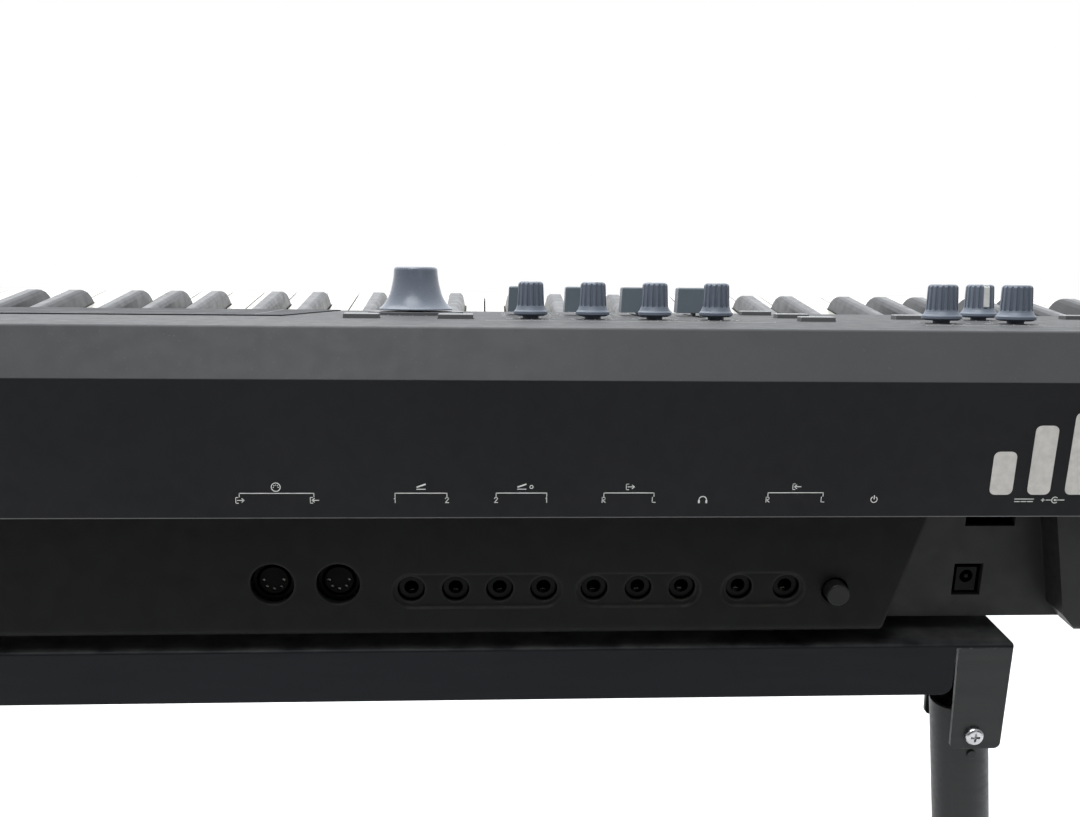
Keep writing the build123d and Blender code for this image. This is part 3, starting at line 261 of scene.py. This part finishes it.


# several finishes here get painted highlights along edges and lower rounding, and a painted sheen on what
# faces up
FINISHES = {
    "panel_plastic": moulded("panel_plastic", (0.0092, 0.0096, 0.0104), 0.58, depth=0.3, specular=0.16,
                             dust=0.18, painted_top_sheen=0.125, round_mm=0.9, edge_wear_and_highlight_gain=14.0, edge_wear_and_highlight=0.8, painted_underside_highlight=0.55),
    "case_plastic": moulded("case_plastic", (0.0135, 0.0135, 0.0125), 0.5, specular=0.22, dust=0.1,
                            edge_wear_and_highlight_gain=3.0),
    "jack_panel_plastic": moulded("jack_panel_plastic", (0.0042, 0.0042, 0.0038), 0.5, specular=0.1,
                                  round_mm=2.0, edge_wear_and_highlight_gain=9.0, edge_wear_and_highlight=0.8),
    "cap_plastic": moulded("cap_plastic", (0.04, 0.04, 0.042), 0.48),
    "display_glass": smoked_glass("display_glass"),
    "socket_plastic": moulded("socket_plastic", (0.002, 0.002, 0.0023), 0.34, grain=2600.0, depth=0.1,
                              specular=0.07, round_mm=0.4, edge_wear_and_highlight_gain=9.0, edge_wear_and_highlight=0.8),
    "socket_steel": plated("socket_steel", (0.62, 0.62, 0.63), 0.25),
    "board": circuit_board("board"),
    "zinc_steel": plated("zinc_steel", (0.5, 0.5, 0.5), 0.38),
    "trim_grey": moulded("trim_grey", (0.09, 0.09, 0.095), 0.4, round_mm=0.3),
    "rubber": rubber("rubber", (0.02, 0.02, 0.021)),
    "screw_steel": plated("screw_steel", (0.62, 0.62, 0.63), 0.24),
    "stand_paint": powder_coat("stand_paint", (0.0055, 0.0062, 0.0078), 0.12),
    "white_key": key_gloss("white_key", (0.5, 0.485, 0.44)),
    "black_key": moulded("black_key", (0.045, 0.046, 0.049), 0.36, depth=0.15, dust=0.12, painted_top_sheen=0.07,
                         round_mm=0.8),
    "knob_rubber": moulded("knob_rubber", (0.113, 0.132, 0.166), 0.42, depth=0.15, round_mm=0.35),
    "slider_plastic": moulded("slider_plastic", (0.098, 0.118, 0.138), 0.42, depth=0.15, round_mm=0.4),
    "super_knob_plastic": moulded("super_knob_plastic", (0.123, 0.141, 0.174), 0.26, depth=0.12,
                                  round_mm=0.6),
    "wheel_plastic": moulded("wheel_plastic", (0.03, 0.03, 0.032), 0.5, grain=900.0, depth=0.5),
    "button_grey": moulded("button_grey", (0.1, 0.1, 0.1), 0.42, depth=0.15, dust=0.15, painted_top_sheen=0.5,
                           round_mm=0.6),
    "button_dark": moulded("button_dark", (0.007, 0.007, 0.007), 0.4, specular=0.2, round_mm=0.5,
                           edge_wear_and_highlight_gain=14.0, edge_wear_and_highlight=0.9),
}
INK = ink("white_ink", (0.62, 0.62, 0.6))
FOIL = ink("emblem_foil", (0.5, 0.48, 0.45), 0.35)
CONTACT = plated("contact_metal", (0.75, 0.72, 0.66), 0.2)

LEG_PAINT = powder_coat("leg_paint", (0.013, 0.0135, 0.0135))
# pieces whose finish differs a little from others in the same material slot
OWN_FINISH = {
    "stand_legs": LEG_PAINT,
    "leg_brackets": LEG_PAINT,
    "leg_pins": LEG_PAINT,
    "midi_sockets": moulded("din_plastic", (0.0012, 0.0012, 0.0014), 0.5, depth=0.1, specular=0.04,
                            edge_wear_and_highlight_gain=1.2),
}

for part in frame["record"]["subparts"]:
    node = NODES[part["node"]]
    for holder in node.material_slots:
        holder.material = OWN_FINISH.get(part["node"], FINISHES[part["material_slot"]])


# ---- mesh helpers ----
def add_piece(name, bm, material, body):
    """Turns a bmesh, in the shared frame, into a piece that rides on a body."""
    bmesh.ops.recalc_face_normals(bm, faces=bm.faces)
    mesh = bpy.data.meshes.new(name)
    bm.to_mesh(mesh)
    bm.free()
    piece = bpy.data.objects.new(name, mesh)
    bpy.context.scene.collection.objects.link(piece)
    mesh.materials.append(material)
    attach(piece, body)
    return piece


class Sheet:
    """Flat shapes on one plane, collected in a bmesh, in millimetres across and up from the origin."""

    def __init__(self, origin, across, up, thick=0.12):
        self.bm = bmesh.new()
        self.origin, self.across, self.up = Vector(origin), Vector(across), Vector(up)
        self.normal = self.across.cross(self.up)
        self.thick = thick / 1000

    def at(self, x, y, lift=0.0):
        return self.origin + self.across * (x / 1000) + self.up * (y / 1000) + self.normal * lift

    def polygon(self, points):
        low = [self.bm.verts.new(self.at(x, y)) for x, y in points]
        high = [self.bm.verts.new(self.at(x, y, self.thick)) for x, y in points]
        self.bm.faces.new(high)
        self.bm.faces.new(low[::-1])
        for i, corner in enumerate(low):
            after = (i + 1) % len(low)
            self.bm.faces.new((corner, low[after], high[after], high[i]))

    def band(self, outer, inner):
        """The closed strip between two loops of equally many points."""
        loops = [[self.bm.verts.new(self.at(x, y, lift)) for x, y in points] for points, lift in
                 ((inner, 0.0), (outer, 0.0), (outer, self.thick), (inner, self.thick))]
        bridge(self.bm, loops + loops[:1])

    def line(self, points, width):
        """A polyline of that width, each run a quad that reaches past its corners by half the width."""
        for (x0, y0), (x1, y1) in zip(points, points[1:]):
            length = math.hypot(x1 - x0, y1 - y0)
            ux, uy = (x1 - x0) / length * width / 2, (y1 - y0) / length * width / 2
            self.polygon([(x0 - ux + uy, y0 - uy - ux), (x1 + ux + uy, y1 + uy - ux),
                          (x1 + ux - uy, y1 + uy + ux), (x0 - ux - uy, y0 - uy + ux)])

    def ring(self, x, y, radius, width, start=0.0, sweep=360.0, steps=28):
        """A circle or an arc, its angles in degrees from the across direction."""
        turn = [math.radians(start + sweep * i / steps) for i in range(steps + (sweep < 360))]
        outer, inner = ([(x + reach * math.cos(t), y + reach * math.sin(t)) for t in turn]
                        for reach in (radius + width / 2, radius - width / 2))
        if sweep < 360:
            self.polygon(outer + inner[::-1])
        else:
            self.band(outer, inner)

    def disc(self, x, y, radius, steps=20):
        turn = [2 * math.pi * i / steps for i in range(steps)]
        self.polygon([(x + radius * math.cos(t), y + radius * math.sin(t)) for t in turn])

    def rounded(self, x, y, width, height, radius, steps=5):
        """A filled rectangle with round corners, centred on (x, y)."""
        points = []
        for cx, cy, start in ((1, 1, 0), (-1, 1, 90), (-1, -1, 180), (1, -1, 270)):
            for i in range(steps + 1):
                t = math.radians(start + 90 * i / steps)
                points.append((x + cx * (width / 2 - radius) + radius * math.cos(t),
                               y + cy * (height / 2 - radius) + radius * math.sin(t)))
        self.polygon(points)

    def digit(self, character, x, y, height):
        """A numeral or letter in straight strokes, centred on (x, y)."""
        w, h = height * 0.3, height * 0.5
        strokes = {
            "1": [[(-w * 0.6, h * 0.55), (0, h), (0, -h)]],
            "2": [[(-w, h * 0.6), (-w * 0.5, h), (w * 0.6, h), (w, h * 0.5), (-w, -h), (w, -h)]],
            "3": [[(-w, h), (w, h), (0, h * 0.15), (w, -h * 0.25), (w * 0.5, -h), (-w, -h)]],
            "4": [[(w * 0.5, -h), (w * 0.5, h), (-w, -h * 0.35), (w, -h * 0.35)]],
            "5": [[(w, h), (-w, h), (-w, h * 0.1), (w * 0.6, h * 0.1), (w, -h * 0.4), (w * 0.5, -h),
                   (-w, -h)]],
            "6": [[(w, h), (-w * 0.4, h), (-w, 0), (-w, -h), (w, -h), (w, 0), (-w, 0)]],
            "7": [[(-w, h), (w, h), (-w * 0.3, -h)]],
            "8": [[(-w, h), (w, h), (w, -h), (-w, -h), (-w, h)], [(-w, 0), (w, 0)]],
            "L": [[(-w, h), (-w, -h), (w, -h)]],
            "R": [[(-w, -h), (-w, h), (w * 0.6, h), (w, h * 0.5), (w * 0.6, 0), (-w, 0), (w, -h)]],
            "+": [[(-w, 0), (w, 0)], [(0, -w), (0, w)]],
        }
        for stroke in strokes[character]:
            self.line([(x + sx, y + sy) for sx, sy in stroke], height * 0.13)


def bridge(bm, loops):
    """The quads between successive closed loops of equally many vertices."""
    for a, b in zip(loops, loops[1:]):
        for i in range(len(a)):
            after = (i + 1) % len(a)
            bm.faces.new((a[i], a[after], b[after], b[i]))


def lathe(name, base, axis, profile, material, body, steps=48):
    """A turned piece about an axis, from (radius, height) points in mm that start and end on the axis."""
    bm = bmesh.new()
    axis = Vector(axis)
    side = axis.orthogonal().normalized()
    other = axis.cross(side)
    rings = []
    for radius, height in profile:
        centre = Vector(base) + axis * (height / 1000)
        if radius == 0:
            rings.append([bm.verts.new(centre)])
        else:
            angles = [2 * math.pi * i / steps for i in range(steps)]
            rings.append([bm.verts.new(centre + (side * math.cos(a) + other * math.sin(a)) * (radius / 1000))
                          for a in angles])
    for low, high in zip(rings, rings[1:]):
        for i in range(steps):
            after = (i + 1) % steps
            corners = [low[i % len(low)], low[after % len(low)], high[after % len(high)], high[i % len(high)]]
            bm.faces.new(list(dict.fromkeys(corners)))
    return add_piece(name, bm, material, body)


# ---- printed marks on the rear band: brackets, pictograms and numerals over the sockets ----
band = Sheet((0, REAR_Y, STAND_TOP), LEFT, UP)
HEAD_H, ROW_H, BRACKET_H = 83.4, 77.4, 80.6


def bracket(low, high):
    band.line([(low, BRACKET_H - 1.6), (low, BRACKET_H), (high, BRACKET_H), (high, BRACKET_H - 1.6)], 0.32)


def din_mark(x, y):
    band.ring(x, y, 1.9, 0.35)
    for i in range(5):
        t = math.pi * i / 4
        band.disc(x + 1.05 * math.cos(t), y - 0.1 + 1.05 * math.sin(t), 0.24, 8)


def arrow(x, y, way):
    """An arrow into (way -1) or out of (way 1) a box's open side."""
    band.line([(x - 0.6, y + 1.3), (x - 1.6, y + 1.3), (x - 1.6, y - 1.3), (x - 0.6, y - 1.3)], 0.3)
    tail, tip = (x - 0.9, x + 2.0) if way > 0 else (x + 2.0, x - 0.9)
    band.line([(tail, y), (tip, y)], 0.32)
    back = tip - way * 1.0
    band.line([(back, y + 0.8), (tip, y), (back, y - 0.8)], 0.32)


def pedal_mark(x, y):
    band.line([(x - 1.8, y - 1.0), (x + 1.8, y - 1.0)], 0.34)
    band.line([(x - 1.6, y + 0.0), (x + 1.7, y + 1.2)], 0.6)


def headphones_mark(x, y):
    band.ring(x, y - 0.2, 1.7, 0.34, 0, 180)
    for way in (-1, 1):
        band.rounded(x + way * 1.65, y - 0.9, 0.8, 1.5, 0.3)


def power_mark(x, y):
    band.ring(x, y, 1.4, 0.34, 120, 300)
    band.line([(x, y + 0.2), (x, y + 1.8)], 0.34)


# places across the rear band, in millimetres from the middle towards the power inlet
DIN_OUT, DIN_IN = 59.4, 91.0
SWITCH_1, SWITCH_2 = 125.6, 147.9
CONTROL_2, CONTROL_1 = 169.1, 191.1
OUTPUT_RIGHT, OUTPUT_LEFT = 216.0, 238.0
PHONES, POWER = 259.6, 336.1
INPUT_RIGHT, INPUT_LEFT = 288.4, 313.0
INLET_H, NUMERAL = 77.0, 2.3

bracket(DIN_OUT, DIN_IN)
din_mark(75.0, HEAD_H)
arrow(DIN_OUT, ROW_H, 1)
arrow(DIN_IN, ROW_H, -1)
bracket(SWITCH_1, SWITCH_2)
pedal_mark(136.8, HEAD_H)
band.digit("1", SWITCH_1, ROW_H, NUMERAL)
band.digit("2", SWITCH_2, ROW_H, NUMERAL)
bracket(CONTROL_2, CONTROL_1)
pedal_mark(180.2, HEAD_H)
band.ring(184.4, HEAD_H, 0.7, 0.3, steps=14)
band.digit("2", CONTROL_2, ROW_H, NUMERAL)
band.digit("1", CONTROL_1, ROW_H, NUMERAL)
bracket(OUTPUT_RIGHT, OUTPUT_LEFT)
arrow(227.3, HEAD_H, 1)
band.digit("R", OUTPUT_RIGHT, ROW_H, NUMERAL)
band.digit("L", OUTPUT_LEFT, ROW_H, NUMERAL)
headphones_mark(PHONES, ROW_H)
bracket(INPUT_RIGHT, INPUT_LEFT)
arrow(300.8, HEAD_H, -1)
band.digit("R", INPUT_RIGHT, ROW_H, NUMERAL)
band.digit("L", INPUT_LEFT, ROW_H, NUMERAL)
power_mark(POWER, ROW_H)

# direct current, and the plug's polarity
band.line([(400.0, INLET_H + 0.5), (408.6, INLET_H + 0.5)], 0.3)
for dash in range(3):
    band.line([(400.0 + dash * 3.0, 76.3), (402.2 + dash * 3.0, 76.3)], 0.3)
band.digit("+", 412.9, INLET_H, NUMERAL)
band.line([(414.3, INLET_H), (416.6, INLET_H)], 0.3)
band.ring(418.4, INLET_H, 1.4, 0.32, 40, 280)
band.disc(418.4, INLET_H, 0.5, 10)
band.line([(418.9, INLET_H), (422.6, INLET_H)], 0.3)
add_piece("rear_marks", band.bm, INK, "body")

# ---- emblem: a row of upright level bars, rounded at their ends ----
emblem = Sheet((0, REAR_Y, STAND_TOP), LEFT, UP, thick=0.3)
EMBLEM_HEIGHTS = (20, 32, 38, 26, 34, 22, 14, 28, 36, 30, 18, 24, 12)
for i, height in enumerate(EMBLEM_HEIGHTS):
    emblem.rounded(393.0 + 17.2 * i, 79.6 + height / 2, 10.4, height, 2.6)
add_piece("emblem_bars", emblem.bm, FOIL, "body")

# ---- control panel: pointers, scales, rules and lamps ----
KNOB_X = [-0.188 - 0.0325 * i for i in range(4)]
KNOB_D, SLIDER_D = 0.112, 0.172
SUPER_KNOB, DATA_DIAL = (-0.125, 0.168), (0.232, 0.118)
SMALL = {"height": 19.2, "top_r": 6.3, "low_r": 6.9, "ticks": 11.0, "pointer": 0.7}
LARGE = {"height": 19.8, "top_r": 7.2, "low_r": 7.8, "ticks": 13.0, "pointer": 1.6}
ASSIGN_TURNS = (170, 205, 150, 190)
KNOBS = [(f"assign_knob_{i + 1}", x, KNOB_D, turn, SMALL)
         for i, (x, turn) in enumerate(zip(KNOB_X, ASSIGN_TURNS))]
KNOBS += [("gain_knob", -0.398, 0.092, 215, LARGE), ("volume_knob", -0.436, 0.090, 150, LARGE),
          ("glide_knob", -0.440, 0.139, -3, LARGE)]


def pointer(name, x, d, turn, size):
    """A white pointer over a knob's top and down its side, turned that many degrees from the rear."""
    angle = math.radians(turn)
    out = PANEL_BACK * math.cos(angle) + RIGHT * math.sin(angle)
    along = PANEL_NORMAL.cross(out)
    half = size["pointer"] / 1000
    base = panel_point(x, d)
    bm = bmesh.new()
    stops = ((2.4, size["height"] + 0.1), (size["top_r"] - 1.0, size["height"] + 0.1),
             (size["top_r"] + 0.35, size["height"] - 1.5), (size["low_r"] + 0.35, 7.6))
    rows = []
    for radius, height in stops:
        middle = base + out * (radius / 1000) + PANEL_NORMAL * (height / 1000)
        inward = out * -0.0006 - PANEL_NORMAL * 0.0005
        rows.append([bm.verts.new(middle + along * side + sink) for side, sink in
                     ((-half, Vector()), (half, Vector()), (half, inward), (-half, inward))])
    bridge(bm, rows)
    bm.faces.new(rows[0])
    bm.faces.new(rows[-1])
    add_piece(f"pointer_{name}", bm, INK, name)


panel = Sheet(PANEL_REAR, RIGHT, PANEL_BACK)


def across_panel(x, d):
    """Millimetres on the panel's sheet for a place in metres."""
    return x * 1000, -(d - PANEL_REAR_D) * 1000 / math.cos(SLOPE)


def ticks(x, d, radius, count, length, start=-60, sweep=300):
    """A dial's scale lines, sweeping over the rear side."""
    cx, cy = across_panel(x, d)
    for i in range(count):
        t = math.radians(start + sweep * i / (count - 1))
        panel.line([(cx + radius * math.cos(t), cy + radius * math.sin(t)),
                    (cx + (radius + length) * math.cos(t), cy + (radius + length) * math.sin(t))], 0.35)


for name, x, d, turn, size in KNOBS:
    pointer(name, x, d, turn, size)
    ticks(x, d, size["ticks"], 11, 1.5)
ticks(*SUPER_KNOB, 26.0, 21, 2.0)
ticks(*DATA_DIAL, 25.0, 3, 2.0, 60, 60)
for i, x in enumerate(KNOB_X):
    cx, cy = across_panel(x, SLIDER_D)
    for row in range(-4, 5):
        reach = 2.6 if row % 4 == 0 else 1.6
        for way in (-1, 1):
            panel.line([(cx + way * 12.2, cy + row * 6.0), (cx + way * (12.2 + reach), cy + row * 6.0)], 0.3)
    panel.digit(str(i + 1), cx, cy + 41.0, 3.0)
    panel.digit(str(i + 5), cx, cy - 37.5, 3.0)
for low, high, d in ((-0.31, -0.165, 0.084), (-0.47, -0.38, 0.066), (0.3, 0.56, 0.062), (0.195, 0.27, 0.084)):
    x0, y0 = across_panel(low, d)
    x1, _ = across_panel(high, d)
    panel.line([(x0, y0 - 2.0), (x0, y0), (x1, y0), (x1, y0 - 2.0)], 0.35)
for column in range(8):
    x, _ = across_panel(0.320 + 0.030 * column, 0)
    for row in range(4):
        _, y = across_panel(0, 0.086 + 0.026 * row)
        panel.line([(x - 3.2, y - 7.0), (x + 3.2, y - 7.0)], 0.5)
    panel.digit(str(column + 1), x, across_panel(0, 0.192)[1], 3.0)
for x, d in ((-0.535, 0.068), (-0.577, 0.068)):
    cx, cy = across_panel(x, d)
    panel.line([(cx - 1.6, cy - 1.0), (cx, cy + 1.2), (cx + 1.6, cy - 1.0)], 0.4)
panel.rounded(-556.0, across_panel(0, 0.139)[1], 60.0, 0.4, 0.15)
add_piece("panel_marks", panel.bm, INK, "body")

# a brushed insert in the large knob's top, and the slider caps' centre lines
INSERT = [(0, 26.65), (8.0, 26.65), (8.6, 26.4), (8.6, 26.0), (0, 26.0)]
lathe("super_knob_insert", panel_point(*SUPER_KNOB), PANEL_NORMAL, INSERT, FINISHES["trim_grey"],
      "super_knob")
for i, x in enumerate(KNOB_X):
    centre = panel_point(x, SLIDER_D) + PANEL_NORMAL * 0.0162
    mark = Sheet(centre, RIGHT, PANEL_BACK)
    mark.rounded(0, 0, 17.6, 0.9, 0.3)
    add_piece(f"slider_line_{i + 1}", mark.bm, INK, f"slider_cap_{i + 1}")

# the frame line around the display's lit area, printed on its cover
display_low, display_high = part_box("display_glass")
screen = Sheet(PANEL_REAR + PANEL_NORMAL * 0.0006, RIGHT, PANEL_BACK, thick=0.05)
left_x, right_x = (display_low.x + 0.034) * 1000, (display_high.x - 0.034) * 1000
rear_y, front_y = across_panel(0, 0.130)[1], across_panel(0, 0.208)[1]
outer, inner = ([(left_x - edge, front_y - edge), (right_x + edge, front_y - edge),
                 (right_x + edge, rear_y + edge), (left_x - edge, rear_y + edge)] for edge in (1, 0))
screen.band(outer, inner)
add_piece("display_frame", screen.bm, FINISHES["trim_grey"], "body")


# ---- sockets: spring contacts in the jacks, and the power inlet's pin ----
JACK_X = (-131.2, -151.2, -171.2, -191.2, -214.2, -234.4, -254.6, -281.0, -303.0)
JACK_H = 31.0
SPRING = ((15.0, -2.7), (17.0, -2.2), (19.0, -1.6), (20.5, -1.5), (22.0, -2.1), (24.0, -2.6))
contacts = bmesh.new()
for x in JACK_X:
    rows = []
    for depth, height in SPRING:
        centre = Vector((x / 1000, REAR_Y - depth / 1000, STAND_TOP + (JACK_H + height) / 1000))
        rows.append([contacts.verts.new(centre + RIGHT * side + UP * lift) for side, lift in
                     ((-0.0011, 0), (0.0011, 0), (0.0011, -0.0003), (-0.0011, -0.0003))])
    bridge(contacts, rows)
    contacts.faces.new(rows[0])
    contacts.faces.new(rows[-1])
add_piece("jack_contacts", contacts, CONTACT, "body")
DIN_PLACES = ((-69.5, 34.3), (-98.7, 34.3))
DIN_PIN_CIRCLE, DIN_FACE_D = 4.45, 0.0134
din_contacts = bmesh.new()
for x, h in DIN_PLACES:
    for i in range(5):
        t = math.pi * (1 + i / 4)
        centre = Vector(((x - DIN_PIN_CIRCLE * math.cos(t)) / 1000, REAR_Y - DIN_FACE_D,
                         STAND_TOP + (h + DIN_PIN_CIRCLE * math.sin(t)) / 1000))
        tube = []
        for depth, radius in ((0.0, 0.00062), (0.0045, 0.00062), (0.0045, 0.0003), (0.0006, 0.0003)):
            around = [Vector((radius * math.cos(a), -depth, radius * math.sin(a)))
                      for a in (2 * math.pi * k / 12 for k in range(12))]
            tube.append([din_contacts.verts.new(centre + reach) for reach in around])
        bridge(din_contacts, tube + tube[:1])
add_piece("din_contacts", din_contacts, CONTACT, "body")
lathe("inlet_pin", (-0.3955, REAR_Y - 0.0350, STAND_TOP + 0.0286), (0, 1, 0),
      [(0, 0), (1.12, 0), (1.12, 6.6), (0.8, 7.3), (0, 7.4)], CONTACT, "body", 24)

# ---- light: a sky that is brighter over the front, seen as plain white, and four soft lamps ----
SKY_BEHIND, SKY_AHEAD = 0.05, 1.6
world = bpy.data.worlds.new("studio")
bpy.context.scene.world = world
world.use_nodes = True
sky = world.node_tree
tint = sky.nodes["Background"]
ray = sky.nodes.new("ShaderNodeTexCoord").outputs["Generated"]
toward = sky.nodes.new("ShaderNodeVectorMath")
toward.operation = "DOT_PRODUCT"
sky.links.new(ray, toward.inputs[0])
toward.inputs[1].default_value = (0.0, -0.86, 0.5)
level_of_sky = sky.nodes.new("ShaderNodeMapRange")
sky.links.new(toward.outputs["Value"], level_of_sky.inputs["Value"])
for key, value in (("From Min", -0.5), ("From Max", 0.8), ("To Min", SKY_BEHIND), ("To Max", SKY_AHEAD)):
    level_of_sky.inputs[key].default_value = value
sky.links.new(level_of_sky.outputs["Result"], tint.inputs["Strength"])
tint.inputs["Color"].default_value = (0.95, 0.97, 1.0, 1)
seen = sky.nodes.new("ShaderNodeBackground")
seen.inputs["Color"].default_value = (1, 1, 1, 1)
seen.inputs["Strength"].default_value = 1.0
blend = sky.nodes.new("ShaderNodeMixShader")
sky.links.new(sky.nodes.new("ShaderNodeLightPath").outputs["Is Camera Ray"], blend.inputs[0])
sky.links.new(tint.outputs[0], blend.inputs[1])
sky.links.new(seen.outputs[0], blend.inputs[2])
sky.links.new(blend.outputs[0], sky.nodes["World Output"].inputs["Surface"])


def soft_light(name, place, aim, size, power, colour=(1, 1, 1)):
    data = bpy.data.lights.new(name, "AREA")
    data.shape, data.size, data.energy, data.color = "DISK", size, power, colour
    light = bpy.data.objects.new(name, data)
    bpy.context.scene.collection.objects.link(light)
    light.location = place
    light.rotation_euler = (Vector(aim) - Vector(place)).to_track_quat("-Z", "Y").to_euler()


soft_light("key", (0.5, -1.6, 3.0), (0, 0, 0.7), 2.4, 45)
soft_light("overhead", (0.3, 0.75, 3.0), (0.1, 0.1, 0.75), 1.8, 60, (0.95, 0.98, 1.0))
soft_light("fill", (-1.6, 2.8, 1.5), (-0.2, 0.1, 0.65), 1.0, 4, (1.0, 0.97, 0.93))
soft_light("floor_wash", (0.0, -1.4, 4.0), (0, -1.6, 0), 3.0, 30)

# ---- floor and camera ----
floor = bmesh.new()
bmesh.ops.create_circle(floor, cap_ends=True, segments=96, radius=3.8)
floor_mesh = bpy.data.meshes.new("floor")
floor.to_mesh(floor_mesh)
floor.free()
floor_object = bpy.data.objects.new("floor", floor_mesh)
bpy.context.scene.collection.objects.link(floor_object)
g = Graph("pale_floor")
g.links.new(g.mix(g.between(g.noise(1.5, 3.0), 0.0, 1.0), (0.84, 0.84, 0.84, 1), (0.88, 0.88, 0.88, 1)),
            g.shader.inputs["Base Color"])
g.shader.inputs["Roughness"].default_value = 0.9
g.shader.inputs["Specular IOR Level"].default_value = 0.1
floor_mesh.materials.append(g.material)

CAMERA_PLACE = (-0.163, REAR_Y + 0.432, STAND_TOP + 0.2403)
SENSOR_MM, LENS_MM = 36.0, 35.33
YAW, PITCH, ROLL = math.radians(3.24), math.radians(15.7), math.radians(-1.06)
ahead = Vector((-math.sin(YAW) * math.cos(PITCH), -math.cos(YAW) * math.cos(PITCH), -math.sin(PITCH)))
level = Vector((-math.cos(YAW), math.sin(YAW), 0))
upright = level.cross(ahead)
across = level * math.cos(ROLL) - upright * math.sin(ROLL)
above = level * math.sin(ROLL) + upright * math.cos(ROLL)
lens = bpy.data.cameras.new("camera")
lens.sensor_width, lens.lens = SENSOR_MM, LENS_MM
camera = bpy.data.objects.new("camera", lens)
bpy.context.scene.collection.objects.link(camera)
turned = Matrix((across, above, -ahead)).transposed().to_4x4()
camera.matrix_world = Matrix.Translation(CAMERA_PLACE) @ turned
bpy.context.scene.camera = camera
bpy.context.scene.view_settings.view_transform = "Standard"
